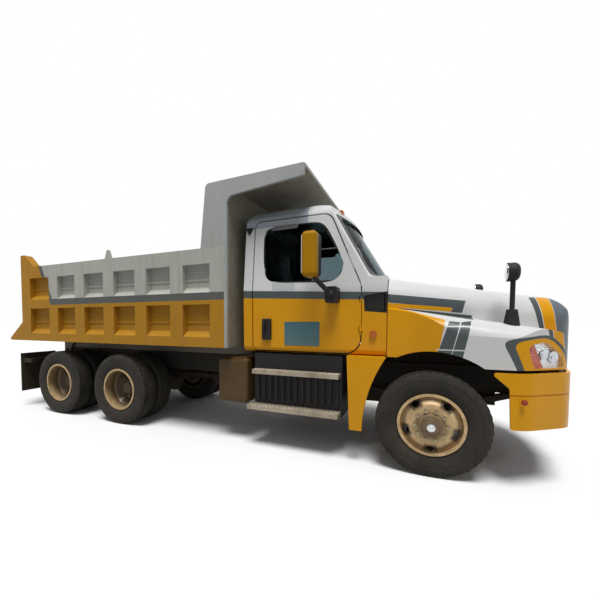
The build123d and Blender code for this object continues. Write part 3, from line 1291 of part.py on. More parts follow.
def bed_side():
    """Right side: planked sheet, three long rails, posts, raised rear post, apron gusset and tailgate pin."""
    x0 = BED_REAR
    x1 = BED_FRONT - BULKHEAD_WALL
    outer, sheet, inner = -BED_HALF_WIDTH, -BED_SHEET_Y, -BED_INNER_Y
    pieces = [
        box(x0, x1, sheet, inner, BED_BOTTOM, BED_TOP),
        ledged_rail(BED_BOTTOM, BED_LOW_RAIL),
        ledged_rail(BED_MID_RAIL_Z, BED_MID_RAIL),
        box(x0, x1, outer, inner, BED_TOP - BED_TOP_RAIL, BED_TOP),
    ]
    for x, width in bed_posts():
        pieces.append(box(x, x + width, outer, inner,
                          BED_BOTTOM + BED_LOW_RAIL / 2, BED_TOP - BED_TOP_RAIL / 2))
    panels = [
        (BED_BOTTOM + BED_LOW_RAIL + BED_LEDGE, BED_MID_RAIL_Z),
        (BED_MID_RAIL_Z + BED_MID_RAIL + BED_LEDGE, BED_TOP - BED_TOP_RAIL),
    ]
    for low, high in panels:
        for i in range(BED_PLANKS_PER_PANEL):
            z = low + (high - low) * (i + 1) / (BED_PLANKS_PER_PANEL + 1)
            pieces.append(box(x0 + BED_REAR_POST / 2, x1 - BED_POST_WIDTH / 2, sheet - BED_PLANK, inner,
                              z - BED_PLANK_HEIGHT / 2, z + BED_PLANK_HEIGHT / 2))
    pieces.append(along_y([
        (x0, BED_TOP - OVERRUN), (x0 + BED_RAISED_FOOT, BED_TOP - OVERRUN),
        (x0 + BED_RAISED_HEAD, BED_RAISED_TOP), (x0, BED_RAISED_TOP),
    ], outer, inner, BED_RAISED_RADII))
    pieces.append(along_y([
        (x0 + 1, BED_BOTTOM), (-TAIL_BACK, BED_BOTTOM), (-TAIL_BACK, BED_BOTTOM + APRON_DROP),
        (x0 + 1, BED_BOTTOM + GUSSET_RISE),
    ], outer, outer + GUSSET))
    foot, head, rise, thick = BED_LUG
    pieces.append(along_y([
        (BED_LUG_X - foot / 2, BED_TOP - OVERRUN), (BED_LUG_X + foot / 2, BED_TOP - OVERRUN),
        (BED_LUG_X + head / 2, BED_TOP + rise), (BED_LUG_X - head / 2, BED_TOP + rise),
    ], outer + thick, outer + 2 * thick))
    pin_end = inner + TAILGATE_GAP + TAILGATE_EAR + TAILGATE_PIN_PAST
    pieces.append(rod_y(TAILGATE_PIVOT_X, TAILGATE_PIVOT_Z, TAILGATE_PIVOT_R, inner - TAILGATE_GAP, pin_end))
    return fused(pieces)


def bed_floor():
    """Floor plate on cross and long sills, notched for the hoist, with pivot ears and the rear apron."""
    x0 = BED_REAR
    x1 = BED_FRONT - BULKHEAD_WALL
    y = BED_INNER_Y
    under = BED_FLOOR - BED_FLOOR_PLATE
    floor = box(x0, x1, -y, y, under, BED_FLOOR)
    for x, width in bed_posts():
        sill = x + (width - BED_SILL_WIDTH) / 2
        floor = floor + box(sill, sill + BED_SILL_WIDTH, -y, y, BED_BOTTOM, under)
    sill_z = RAIL_TOP + OVERRUN + 1
    long_sill = box(BED_PIVOT_X + BED_LONG_SILL_START, x1, RAIL_HALF_WIDTH - RAIL_FLANGE, RAIL_HALF_WIDTH,
                    sill_z, under)
    ear_rear = BED_PIVOT_X - BED_EAR_HALF
    ear_foot = BED_PIVOT_Z - BED_EAR_DROP
    ear = along_y([
        (ear_rear, ear_foot), (BED_PIVOT_X + BED_EAR_HALF, ear_foot),
        (BED_PIVOT_X + BED_EAR_RUN, under + OVERRUN), (ear_rear, under + OVERRUN),
    ], BED_EAR_Y, BED_EAR_Y + BED_EAR, [BED_EAR_ROUND, BED_EAR_ROUND, 0, 0])
    ear = ear - rod_y(BED_PIVOT_X, BED_PIVOT_Z, BED_PIVOT_R + SEAT_GAP, 0, REACH)
    for piece in (long_sill, ear):
        floor = floor + piece + other_side(piece)
    inside = BED_HALF_WIDTH - GUSSET
    apron = along_y([
        (x0 + OVERRUN, BED_FLOOR - APRON_DEEP), (x0 + OVERRUN, BED_FLOOR - APRON_STEP),
        (-TAIL_BACK, BED_BOTTOM + APRON_LIP), (-TAIL_BACK, BED_BOTTOM),
    ], -inside, inside)
    corner = box(x0, x0 + 2 * OVERRUN, y, REACH, 0, BED_TOP)
    floor = floor + (apron - corner - other_side(corner))
    half = DOGHOUSE_HALF + DOGHOUSE_WALL
    notch = box(DOGHOUSE_BACK_BOTTOM - DOGHOUSE_WALL, x1 + OVERRUN, -half, half, 0, BED_FLOOR + OVERRUN)
    return floor - notch


def bulkhead():
    """Front wall of the bed with the hoist's recess and the bosses for the hoist's eye."""
    x1 = BED_FRONT
    x0 = x1 - BULKHEAD_WALL
    half = BED_HALF_WIDTH
    neck = CANOPY_TOP - CANOPY_NECK_DROP
    inside = DOGHOUSE_TOP - DOGHOUSE_WALL
    wall = box(x0, x1, -half, half, BED_BOTTOM, BED_TOP)
    wall = wall + box(x0, x1, CANOPY_CHEEK - half, half - CANOPY_CHEEK, BED_TOP - OVERRUN, neck)
    wall = wall - box(x0 - OVERRUN, x1 + OVERRUN, -DOGHOUSE_HALF, DOGHOUSE_HALF, 0, inside)
    back_low, back_high = DOGHOUSE_BACK_BOTTOM, DOGHOUSE_BACK_TOP
    recess = [
        (x0 + 1, BED_BOTTOM), (back_low - DOGHOUSE_WALL, BED_BOTTOM),
        (back_high - DOGHOUSE_WALL, DOGHOUSE_TOP), (x0 + 1, DOGHOUSE_TOP),
    ]
    mouth = BED_BOTTOM - DOGHOUSE_OPEN
    room = [(x1, mouth), (back_low - DOGHOUSE_SPLAY, mouth), (back_high, inside), (x1, inside)]
    side = DOGHOUSE_HALF + DOGHOUSE_WALL
    house = along_y(recess, -side, side) - along_y(room, -DOGHOUSE_HALF, DOGHOUSE_HALF)
    boss = rod_y(HOIST_X, HOIST_EYE_Z, HOIST_BOSS_R, -DOGHOUSE_HALF - OVERRUN, -HOIST_BOSS_Y)
    return fused([wall, house, boss, other_side(boss)])


def canopy():
    """Canopy over the cab: two cheeks, sloped roof plate, back plate and the wall above the bulkhead."""
    x1 = BED_FRONT
    x0 = x1 - BULKHEAD_WALL
    half = BED_HALF_WIDTH
    foot = BED_TOP
    rear_top = CANOPY_REAR + CANOPY_REAR_LEAN
    crest = CANOPY_TOP - CANOPY_FALL
    neck = CANOPY_TOP - CANOPY_NECK_DROP
    cheek = along_y([
        (CANOPY_REAR, foot), (rear_top, crest), (CANOPY_FRONT, CANOPY_TOP),
        (CANOPY_FRONT - CANOPY_EDGE_LEAN, CANOPY_TOP - CANOPY_EDGE),
        (CANOPY_KNEE_X, CANOPY_TOP - CANOPY_KNEE_DROP), (x1, neck), (x1, foot),
    ], -half, CANOPY_CHEEK - half, CANOPY_RADII)
    lap = half - CANOPY_CHEEK / 2
    plate = CANOPY_PLATE
    top = along_y([
        (rear_top - CANOPY_LAP, crest - plate), (rear_top, crest), (CANOPY_FRONT, CANOPY_TOP),
        (CANOPY_FRONT, CANOPY_TOP - plate),
    ], -lap, lap)
    back = along_y([
        (CANOPY_REAR, foot), (rear_top, crest - CANOPY_FALL), (rear_top + plate, crest - CANOPY_FALL),
        (CANOPY_REAR + plate, foot),
    ], -lap, lap)
    hung = box(x0, x1, -lap, lap, neck, crest - plate / 2)
    return fused([cheek, other_side(cheek), top, back, hung])


def tailgate():
    """Braced tailgate hung from two top ears."""
    y = BED_INNER_Y - TAILGATE_GAP
    face = BED_REAR + TAILGATE_SHEET
    ribs = face + TAILGATE_RIB_LAP
    rear = ribs - TAILGATE_RIB_DEPTH
    low = BED_FLOOR + TAILGATE_GAP
    high = BED_TOP - TAILGATE_GAP
    pieces = [box(face, face + TAILGATE_SHEET, -y, y, low, high)]
    for z in TAILGATE_RIB_ZS:
        pieces.append(box(rear, ribs, -y, y, z, z + TAILGATE_RIB))
    for i in range(TAILGATE_POSTS):
        edge = -y + (2 * y - TAILGATE_RIB) * i / (TAILGATE_POSTS - 1)
        pieces.append(box(rear, ribs, edge, edge + TAILGATE_RIB, low, high))
    y0 = y - TAILGATE_EAR_INSET
    y1 = y0 + TAILGATE_EAR
    ear = box(TAILGATE_PIVOT_X - TAILGATE_EAR_HALF, TAILGATE_PIVOT_X + TAILGATE_EAR_HALF, y0, y1,
              BED_TOP - TAILGATE_EAR_FOOT, TAILGATE_PIVOT_Z)
    ear = ear + rod_y(TAILGATE_PIVOT_X, TAILGATE_PIVOT_Z, TAILGATE_EAR_R, y0, y1)
    ear = ear - rod_y(TAILGATE_PIVOT_X, TAILGATE_PIVOT_Z, TAILGATE_PIVOT_R + SEAT_GAP, 0, REACH)
    return fused(pieces + [ear, other_side(ear)])


# Hoist

def hoist():
    """Telescopic hoist, drawn in: trunnioned barrel, two tube stages and the rod with its eye."""
    foot = HOIST_PIVOT_Z - HOIST_FOOT
    neck = HOIST_EYE_Z - HOIST_EYE_R - HOIST_NECK_GAP
    radius = HOIST_BARREL_R
    tubes = []
    for i in range(HOIST_STAGES):
        bottom = foot + HOIST_FLOOR_STEP * i
        top = neck - HOIST_NECK + HOIST_STAGE_STEP * i
        bore = rod_z(HOIST_X, 0, radius - HOIST_STAGE_WALL, bottom + HOIST_FLOOR, top + OVERRUN)
        tubes.append(rod_z(HOIST_X, 0, radius, bottom, top) - bore)
        radius -= HOIST_STAGE_WALL + SEAT_GAP
    pin_end = HOIST_STAND_Y + HOIST_STAND_LEG
    pins = rod_y(HOIST_X, HOIST_PIVOT_Z, HOIST_PIN_R, -pin_end, pin_end)
    pins = pins - rod_z(HOIST_X, 0, HOIST_BARREL_R - HOIST_PIN_LAP, 0, REACH)
    tubes[0] = tubes[0] + pins
    rod = rod_z(HOIST_X, 0, radius, foot + HOIST_FLOOR_STEP * HOIST_STAGES, HOIST_EYE_Z - HOIST_ROD_INSET)
    rod = rod + rod_y(HOIST_X, HOIST_EYE_Z, HOIST_EYE_R, -HOIST_EYE_HALF, HOIST_EYE_HALF)
    rod = rod - rod_y(HOIST_X, HOIST_EYE_Z, HOIST_PIN_R, -REACH, REACH)
    return tubes + [rod]


def save(name, shapes):
    """Write one node, moved from the front axle's frame to the middle of the truck."""
    solids = [solid for shape in shapes for solid in shape.solids()]
    export_step(Pos(FRONT_AXLE_X, 0, 0) * Compound(solids), f"parts/{name}.step")


def build():
    cab_shell, cab_glass, door, door_glass, cab_outer = cab_pieces()
    hood_shell, grille, lens, lamp_back = hood_pieces()
    fittings = door_fittings(cab_outer)
    barrel, stage_1, stage_2, rod = hoist()
    last_axle = -TANDEM_BACK - TANDEM_SPREAD
    nodes = {
        "frame_rails": frame_rails(),
        "crossmembers": crossmembers(),
        "engine": engine(),
        "front_axle": [front_axle()],
        "springs": springs(),
        "rear_axles": [rear_axle(-TANDEM_BACK), rear_axle(last_axle)],
        "drive_shafts": drive_shafts(),
        "tanks": tanks(),
        "step_box": [step_box()],
        "steps": steps(),
        "bumper": [bumper()],
        "quarter_fenders": quarter_fenders(),
        "mudflaps": mudflaps(),
        "lamps": lamps(cab_outer),
        "cab_shell": [cab_shell],
        "cab_glass": cab_glass,
        "dashboard": [cab_inside()],
        "seats": seats(),
        "hood_shell": [hood_shell],
        "grille": [grille],
        "headlamps": both_sides(lamp_back),
        "headlamp_lenses": both_sides(lens),
        "fender_mirrors": both_sides(fender_mirror(hood_volume(0))),
        "door_right": [door],
        "door_left": [other_side(door)],
        "door_glass_right": [door_glass],
        "door_glass_left": [other_side(door_glass)],
        "door_fittings_right": fittings,
        "door_fittings_left": [other_side(piece) for piece in fittings],
        "bed_floor": [bed_floor()],
        "bed_sides": both_sides(bed_side()),
        "bed_front": [bulkhead()],
        "canopy": [canopy()],
        "tailgate": [tailgate()],
        "hoist_barrel": [barrel],
        "hoist_stage_1": [stage_1],
        "hoist_stage_2": [stage_2],
        "hoist_rod": [rod],
        "knuckle_left": [knuckle()],
        "knuckle_right": [other_side(knuckle())],
        "tie_rod": [tie_rod()],
    }
    outer = DUAL_OUTER_TRACK / 2
    duals = [tyre(outer), tyre(outer - DUAL_SPACING)]
    corners = [
        ("front", 0, front_wheel(), [tyre(FRONT_TRACK / 2)]),
        ("mid", -TANDEM_BACK, rear_wheel(), duals),
        ("rear", last_axle, rear_wheel(), duals),
    ]
    for name, x, wheel, tyres in corners:
        at = Pos(x, 0, AXLE_Z)
        nodes[f"wheel_{name}_left"] = [at * wheel]
        nodes[f"wheel_{name}_right"] = [at * other_side(wheel)]
        nodes[f"tyre_{name}_left"] = [at * piece for piece in tyres]
        nodes[f"tyre_{name}_right"] = [at * other_side(piece) for piece in tyres]
    for name, shapes in nodes.items():
        save(name, shapes)


os.makedirs("parts", exist_ok=True)
build()
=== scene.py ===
from math import cos, floor, pi, radians, sin, sqrt

import bmesh
import bpy
from mathutils import Matrix, Vector


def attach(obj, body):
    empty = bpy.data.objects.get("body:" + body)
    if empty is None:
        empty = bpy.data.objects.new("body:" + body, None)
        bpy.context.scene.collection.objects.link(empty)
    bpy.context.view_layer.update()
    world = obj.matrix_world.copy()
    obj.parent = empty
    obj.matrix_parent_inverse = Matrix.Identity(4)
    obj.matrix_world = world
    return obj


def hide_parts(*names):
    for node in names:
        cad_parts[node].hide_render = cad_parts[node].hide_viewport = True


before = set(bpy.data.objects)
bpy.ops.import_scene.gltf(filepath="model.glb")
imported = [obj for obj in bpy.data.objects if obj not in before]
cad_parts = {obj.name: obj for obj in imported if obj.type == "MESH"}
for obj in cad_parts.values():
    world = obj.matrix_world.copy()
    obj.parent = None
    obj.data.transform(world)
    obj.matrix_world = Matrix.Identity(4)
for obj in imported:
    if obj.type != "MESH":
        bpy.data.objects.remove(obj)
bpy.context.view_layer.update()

scene = bpy.context.scene
scene.view_settings.view_transform = "Standard"

# Places in metres; side-view outlines are in millimetres from the front axle
FRONT_AXLE = 2.675
AXLE_X = {"front": FRONT_AXLE, "mid": -1.365, "rear": -2.685}
AXLE_Z = 0.505
SIDES = {"left": 1, "right": -1}
OTHER_SIDE = Matrix.Scale(-1, 4, (0, 1, 0))

# Colours, linear
WHITE = (0.66, 0.67, 0.66, 1)
PALE_GREY = (0.50, 0.52, 0.53, 1)
ROOF_GREY = (0.36, 0.40, 0.44, 1)
STRIPE_GREY = (0.075, 0.09, 0.095, 1)
NOSE_GREY = (0.13, 0.155, 0.18, 1)
YELLOW = (0.72, 0.325, 0.0, 1)
SHADED_YELLOW = (0.42, 0.205, 0.0, 1)
TRIM_GREY = (0.028, 0.028, 0.030, 1)
BLACK = (0.012, 0.012, 0.012, 1)
DUST = (0.24, 0.19, 0.12, 1)
BED_GREY = (0.47, 0.47, 0.43, 1)
BED_ORANGE = (0.45, 0.215, 0.010, 1)
BED_STRIPE = (0.10, 0.11, 0.105, 1)
BED_PRIMER = (0.16, 0.10, 0.06, 1)
RUN_BROWN = (0.16, 0.12, 0.075, 1)
RUST = (0.15, 0.06, 0.022, 1)
CANOPY_GREY = (0.42, 0.44, 0.43, 1)
CANOPY_PRIMER = (0.13, 0.08, 0.05, 1)
# Ochre of the tanks, darkened with painted shade
SHADED_TANK_OCHRE = (0.075, 0.040, 0.011, 1)
TANK_PRIMER = (0.1, 0.05, 0.02, 1)
GOLD_PRIMER = (0.12, 0.06, 0.03, 1)
# Darker tone round the wheels' hubs and in their gutters
WHEEL_DARK_TONE = (0.035, 0.027, 0.020, 1)
# Painted shade in and round the front wheels' hand holes
HAND_HOLE_SHADE = (0.022, 0.017, 0.013, 1)
# Painted shade deep in the dual wheels' dishes
DISH_SHADE = (0.040, 0.028, 0.018, 1)
LENS_FILM = (0.16, 0.03, 0.01, 1)
LENS_AMBER = (0.62, 0.15, 0.02, 1)
LENS_RED = (0.40, 0.02, 0.015, 1)
MARKER_RED = (0.45, 0.05, 0.015, 1)
SIGNAL_RED = (0.50, 0.075, 0.025, 1)

# Pairs of tones that one finish wanders between
SCRAPED = ((0.10, 0.09, 0.075, 1), (0.26, 0.25, 0.22, 1))
SOIL = ((0.15, 0.138, 0.105, 1), (0.40, 0.37, 0.30, 1))
RUBBER = ((0.018, 0.017, 0.016, 1), (0.040, 0.036, 0.030, 1))
PLASTIC = ((0.008, 0.008, 0.009, 1), (0.03, 0.03, 0.032, 1))
GOLD = ((0.62, 0.44, 0.23, 1), (0.20, 0.13, 0.065, 1))
REFLECTOR = ((0.62, 0.64, 0.66, 1), (0.85, 0.87, 0.88, 1))
TREAD = ((0.46, 0.40, 0.31, 1), (0.24, 0.19, 0.135, 1))
CLOTH = ((0.018, 0.018, 0.021, 1), (0.07, 0.07, 0.078, 1))
PANEL_BLUE = ((0.075, 0.17, 0.19, 1), (0.035, 0.135, 0.17, 1))


# Shading helpers

def new_finish(name):
    """Empty node material; returns it, its tree and its shader."""
    finish = bpy.data.materials.new(name)
    finish.use_nodes = True
    tree = finish.node_tree
    return finish, tree, tree.nodes["Principled BSDF"]


def feed(tree, socket, value):
    """Put a link or a plain number on a socket."""
    if isinstance(value, bpy.types.NodeSocket):
        tree.links.new(value, socket)
    else:
        socket.default_value = value


def dress(tree, shader, values):
    """Put links or plain values on the shader's sockets."""
    for label, value in values.items():
        feed(tree, shader.inputs[label], value)


def calc(tree, operation, *values):
    """One step of arithmetic."""
    node = tree.nodes.new("ShaderNodeMath")
    node.operation = operation
    for socket, value in zip(node.inputs, values):
        feed(tree, socket, value)
    return node.outputs[0]


def above(tree, value, limit=0.0):
    """1 where a value is greater than a limit."""
    return calc(tree, "GREATER_THAN", value, limit)


def below(tree, value, limit=0.0):
    """1 where a value is less than a limit."""
    return calc(tree, "LESS_THAN", value, limit)


def both(tree, one, other):
    """Product of two values, or the overlap of two masks."""
    return calc(tree, "MULTIPLY", one, other)


def either(tree, one, other):
    """Greater of two values, or two masks as one."""
    return calc(tree, "MAXIMUM", one, other)


def scaled(tree, value, gain, base):
    """A value times a gain, on top of a base."""
    return calc(tree, "MULTIPLY_ADD", value, gain, base)


def apart(tree, value, middle=None):
    """Distance of a value from a middle, or from zero."""
    shifted = value if middle is None else calc(tree, "SUBTRACT", value, middle)
    return calc(tree, "ABSOLUTE", shifted)


def ramp(tree, value, low, high):
    """0 below low, 1 above high."""
    node = tree.nodes.new("ShaderNodeMapRange")
    feed(tree, node.inputs["Value"], value)
    feed(tree, node.inputs["From Min"], low)
    feed(tree, node.inputs["From Max"], high)
    return node.outputs[0]


def mix(tree, mask, under, over, blend="MIX"):
    """Colour over another where the mask is 1."""
    node = tree.nodes.new("ShaderNodeMix")
    node.data_type = "RGBA"
    node.blend_type = blend
    feed(tree, node.inputs["Factor"], mask)
    feed(tree, node.inputs[6], under)
    feed(tree, node.inputs[7], over)
    return node.outputs[2]


def place(tree):
    """Object coordinates as a vector and as x, y, z."""
    where = tree.nodes.new("ShaderNodeTexCoord").outputs["Object"]
    parts = tree.nodes.new("ShaderNodeSeparateXYZ")
    tree.links.new(where, parts.inputs[0])
    return where, parts.outputs[0], parts.outputs[1], parts.outputs[2]


def noise(tree, where, scale, detail=4, rough=0.6):
    """Cloudy value about 0.5."""
    node = tree.nodes.new("ShaderNodeTexNoise")
    feed(tree, node.inputs["Vector"], where)
    feed(tree, node.inputs["Scale"], scale)
    feed(tree, node.inputs["Detail"], detail)
    feed(tree, node.inputs["Roughness"], rough)
    return node.outputs[0]


def stretched(tree, where, scale):
    """Coordinates scaled by their own factor on each axis."""
    node = tree.nodes.new("ShaderNodeMapping")
    feed(tree, node.inputs["Vector"], where)
    feed(tree, node.inputs["Scale"], scale)
    return node.outputs[0]


def waves(tree, value, pitch):
    """Even ripples along a value."""
    return calc(tree, "SINE", both(tree, value, pitch))


def bump(tree, height, strength, distance):
    """Normal of a raised pattern."""
    node = tree.nodes.new("ShaderNodeBump")
    feed(tree, node.inputs["Strength"], strength)
    feed(tree, node.inputs["Distance"], distance)
    feed(tree, node.inputs["Height"], height)
    return node.outputs[0]


def beyond(tree, a, b, line, shift=0.0):
    """Signed distance of (a, b) to the left of a line given by two points, less a shift."""
    p, q = Vector(line[0]), Vector(line[1])
    run = q - p
    n = Vector((-run.y, run.x)).normalized()
    return scaled(tree, b, n.y, scaled(tree, a, n.x, -n.dot(p) - shift))


def within(tree, a, b, corners, soft=0.0):
    """Signed distance inside a convex anticlockwise outline; soft rounds its corners."""
    depth = None
    for line in zip(corners, corners[1:] + corners[:1]):
        edge = beyond(tree, a, b, line)
        depth = edge if depth is None else calc(tree, "SMOOTH_MIN", depth, edge, soft)
    return depth


def spots(*points):
    """Places in the side view, given in millimetres from the front axle."""
    return [(x / 1000 + FRONT_AXLE, z / 1000) for x, z in points]


def outline_of(points):
    """Corners in the side view turned to run anticlockwise."""
    corners = spots(*points)
    area = sum(p[0] * q[1] - q[0] * p[1] for p, q in zip(corners, corners[1:] + corners[:1]))
    return corners if area > 0 else corners[::-1]


# Shared effects

NUMBER = "NodeSocketFloat"
NORMAL = "NodeSocketVector"


def new_effect(name, inputs, outputs):
    """Empty node group; returns it with its input and output sockets."""
    group = bpy.data.node_groups.new(name, "ShaderNodeTree")
    for label, value in inputs.items():
        socket = group.interface.new_socket(label, in_out="INPUT", socket_type=NUMBER)
        socket.default_value = value
    for label, kind in outputs.items():
        group.interface.new_socket(label, in_out="OUTPUT", socket_type=kind)
    return group, group.nodes.new("NodeGroupInput").outputs, group.nodes.new("NodeGroupOutput").inputs


def make_road_dust():
    """Dust that lies thicker low down, broken into patches and streaks."""
    group, given, result = new_effect("road dust", {"Amount": 0.5, "Low": 0.3, "High": 1.4}, {"Mask": NUMBER})
    where, _, _, z = place(group)
    fall = ramp(group, z, given["High"], given["Low"])
    patches = ramp(group, noise(group, where, 5.0, detail=6, rough=0.65), 0.35, 0.75)
    upright = stretched(group, where, (9, 9, 1.2))
    streaks = ramp(group, noise(group, upright, 3.0, detail=5), 0.35, 0.7)
    spread = scaled(group, patches, 0.6, both(group, streaks, 0.4))
    film = scaled(group, fall, 0.9, 0.1)
    mask = both(group, both(group, spread, film), given["Amount"])
    feed(group, result["Mask"], calc(group, "MINIMUM", mask, 1.0))
    return group


def make_paint_wear():
    """Fine unevenness of a painted sheet: tone, gloss and small chips."""
    group, given, result = new_effect(
        "paint wear", {"Gloss": 0.3, "Chips": 0.2},
        {"Tone": NUMBER, "Roughness": NUMBER, "Chips": NUMBER, "Normal": NORMAL})
    where = place(group)[0]
    broad = noise(group, where, 2.2, detail=3)
    fine = noise(group, where, 160.0, detail=2)
    feed(group, result["Tone"], scaled(group, broad, 0.22, 0.89))
    uneven = scaled(group, noise(group, where, 11.0, detail=5), 0.22, given["Gloss"])
    feed(group, result["Roughness"], calc(group, "SUBTRACT", uneven, 0.11))
    specks = ramp(group, noise(group, where, 38.0, detail=6, rough=0.75), 0.70, 0.72)
    feed(group, result["Chips"], both(group, specks, given["Chips"]))
    feed(group, result["Normal"], bump(group, fine, strength=0.06, distance=0.002))
    return group


def make_grain():
    """Pebbled or cast surface at a given size."""
    group, given, result = new_effect("grain", {"Size": 200.0}, {"Value": NUMBER, "Normal": NORMAL})
    grain = noise(group, place(group)[0], given["Size"], detail=5, rough=0.7)
    feed(group, result["Value"], grain)
    feed(group, result["Normal"], bump(group, grain, strength=0.35, distance=0.004))
    return group


EFFECTS = {"dust": make_road_dust(), "wear": make_paint_wear(), "grain": make_grain()}


def effect(tree, name, **values):
    """Place a shared effect in a material with its own values."""
    node = tree.nodes.new("ShaderNodeGroup")
    node.node_tree = EFFECTS[name]
    for label, value in values.items():
        node.inputs[label].default_value = value
    return node.outputs


def dusty(tree, colour, dust):
    """Colour under dust, and the dust's mask; dust is its amount, low and high end."""
    amount, low, high = dust
    dirt = effect(tree, "dust", Amount=amount, Low=low, High=high)["Mask"]
    return mix(tree, dirt, colour, DUST), dirt


def finish_paint(tree, shader, colour, gloss=0.30, chips=0.25, dust=(0.5, 0.3, 1.5), coat=0.06,
                 under=PALE_GREY):
    """Painted sheet: colour with uneven tone, chips down to the under-colour and dust."""
    wear = effect(tree, "wear", Gloss=gloss, Chips=chips)
    tone = tree.nodes.new("ShaderNodeCombineColor")
    for socket in tone.inputs:
        feed(tree, socket, wear["Tone"])
    toned = mix(tree, 1.0, colour, tone.outputs[0], "MULTIPLY")
    chipped = mix(tree, wear["Chips"], toned, under)
    dusted, dirt = dusty(tree, chipped, dust)
    dress(tree, shader, {
        "Base Color": dusted, "Roughness": scaled(tree, dirt, 0.45, wear["Roughness"]),
        "Normal": wear["Normal"], "Coat Weight": coat, "Coat Roughness": 0.08, "Specular IOR Level": 0.16})


# Cab paint

BELT_TOP = spots((-692, 1805), (-1893, 1857))
BELT_FOOT = spots((-692, 1724), (-1893, 1769))
REAR_ROOF = [(-2200, 2612), (-1278, 2612), (-1306, 2950), (-2200, 2950)]
BELT_PATCH = [(-1691, 1846), (-1409, 1838), (-1409, 1960), (-1691, 1968)]
# Outline painted black over the cowl's vent: painted shade in its recess
COWL_SLOT_SHADE = [(-640, 1600), (-420, 1580), (-420, 1800), (-650, 1765)]
WINDOW = [
    (-1802, 2570), (-1790, 2080), (-1700, 1965), (-960, 1937), (-862, 2060), (-880, 2170), (-1115, 2590),
    (-1760, 2600),
]
WINDOW_ROUND = 0.16
WINDOW_SEAL = 0.020
WINDOW_FRONT = FRONT_AXLE - 0.70
CAB_SIDE_Y = 0.90
SCREEN = [(-0.985, 1.985), (0.985, 1.985), (0.895, 2.70), (-0.895, 2.70)]
SCREEN_ROUND = 0.08
SCREEN_SLOPE = spots((-860, 2741), (-420, 2000))
SCREEN_BAND = 0.25
SCREEN_CURVE = 0.1414
CAB_SECTION = [
    (-1.035, 1.10), (1.035, 1.10), (1.05, 1.85), (0.955, 2.73), (0.79, 2.86), (-0.79, 2.86), (-0.955, 2.73),
    (-1.05, 1.85),
]
CAB_PROFILE = [
    (-2062, 1100), (-420, 1100), (-420, 2000), (-860, 2741), (-1250, 2860), (-1892, 2860), (-2012, 2815),
    (-2062, 2700),
]
TRIM_DEPTH = 0.036


def cab_bands(tree, x, z):
    """White over yellow with a grey belt and rear roof, a pale patch, and black painted shade in the cowl's
    slot.
    """
    colour = mix(tree, above(tree, beyond(tree, x, z, BELT_TOP)), WHITE, STRIPE_GREY)
    colour = mix(tree, above(tree, beyond(tree, x, z, BELT_FOOT)), colour, YELLOW)
    # The last outline is the cowl's vent, painted black as shade in its recess
    for paint, corners in ((ROOF_GREY, REAR_ROOF), (PALE_GREY, BELT_PATCH), (BLACK, COWL_SLOT_SHADE)):
        colour = mix(tree, above(tree, within(tree, x, z, outline_of(corners))), colour, paint)
    return colour


def cab_seals(tree, x, y, z):
    """Mask of the black seals round the side windows and the windscreen."""
    rim = above(tree, within(tree, x, z, outline_of(WINDOW), WINDOW_ROUND), -WINDOW_SEAL)
    side = both(tree, above(tree, apart(tree, y), CAB_SIDE_Y), below(tree, x, WINDOW_FRONT))
    glazing = above(tree, within(tree, y, z, SCREEN, SCREEN_ROUND))
    ahead = above(tree, beyond(tree, x, z, SCREEN_SLOPE), -SCREEN_BAND)
    return either(tree, both(tree, rim, side), both(tree, glazing, ahead))


def cab_lining(tree, x, y, z):
    """Mask of all that lies deeper than the painted skin, inside the cab."""
    across = within(tree, y, z, CAB_SECTION)
    along = within(tree, x, z, outline_of(CAB_PROFILE))
    bowed = scaled(tree, both(tree, y, y), -SCREEN_CURVE, beyond(tree, x, z, SCREEN_SLOPE[::-1]))
    depth = calc(tree, "MINIMUM", calc(tree, "MINIMUM", across, along), bowed)
    return above(tree, depth, TRIM_DEPTH)


def make_cab_paint():
    """Two-tone cab with black seals, dark inside."""
    finish, tree, shader = new_finish("cab two-tone paint")
    _, x, y, z = place(tree)
    colour = mix(tree, cab_seals(tree, x, y, z), cab_bands(tree, x, z), BLACK)
    colour = mix(tree, cab_lining(tree, x, y, z), colour, TRIM_GREY)
    finish_paint(tree, shader, colour, dust=(0.18, 0.9, 1.7), chips=0.06)
    return finish


# Hood paint

HOOD_PATCHES = [
    (STRIPE_GREY, [(-450, 1776), (285, 1695), (262, 1612), (-450, 1690)]),
    (STRIPE_GREY, [(285, 1695), (254, 1575), (158, 1583), (180, 1650)]),
    (YELLOW, [(-450, 1686), (166, 1629), (160, 1588), (-450, 1642)]),
    (YELLOW, [(-450, 1669), (126, 1500), (46, 1170), (10, 950), (-450, 950)]),
    (STRIPE_GREY, [(-310, 1629), (343, 1551), (333, 1507), (-310, 1622)]),
    (STRIPE_GREY, [(133, 1496), (222, 1486), (146, 1150), (30, 1150)]),
    (STRIPE_GREY, [(233, 1486), (312, 1497), (236, 1110), (150, 1150)]),
    (WHITE, [(100, 1452), (320, 1452), (320, 1440), (100, 1440)]),
    (WHITE, [(30, 1232), (320, 1232), (320, 1221), (30, 1221)]),
    (STRIPE_GREY, [(822, 1725), (876, 1725), (957, 1285), (920, 1318)]),
    (YELLOW, [(882, 1725), (985, 1725), (1066, 1110), (962, 1290)]),
    (NOSE_GREY, [(988, 1725), (1200, 1725), (1200, 1110), (1070, 1110)]),
]
# Headlamp's corner as x less the distance from the middle, and its edges along its face, weighted
LAMP_CORNER = FRONT_AXLE + 0.93 - 1.01
LAMP_EDGES = [
    (((-0.155, 1.082), (-0.225, 1.288)), 1.0), (((-0.225, 1.288), (-0.02, 1.312)), 2.0),
    (((-0.02, 1.312), (0.155, 1.185)), 1.7), (((0.155, 1.185), (0.19, 1.082)), 1.7),
]
LAMP_ROUND = 0.2
LAMP_BANDS = ((0.135, STRIPE_GREY), (0.085, YELLOW))
LAMP_BANDS_REAR = FRONT_AXLE + 0.45


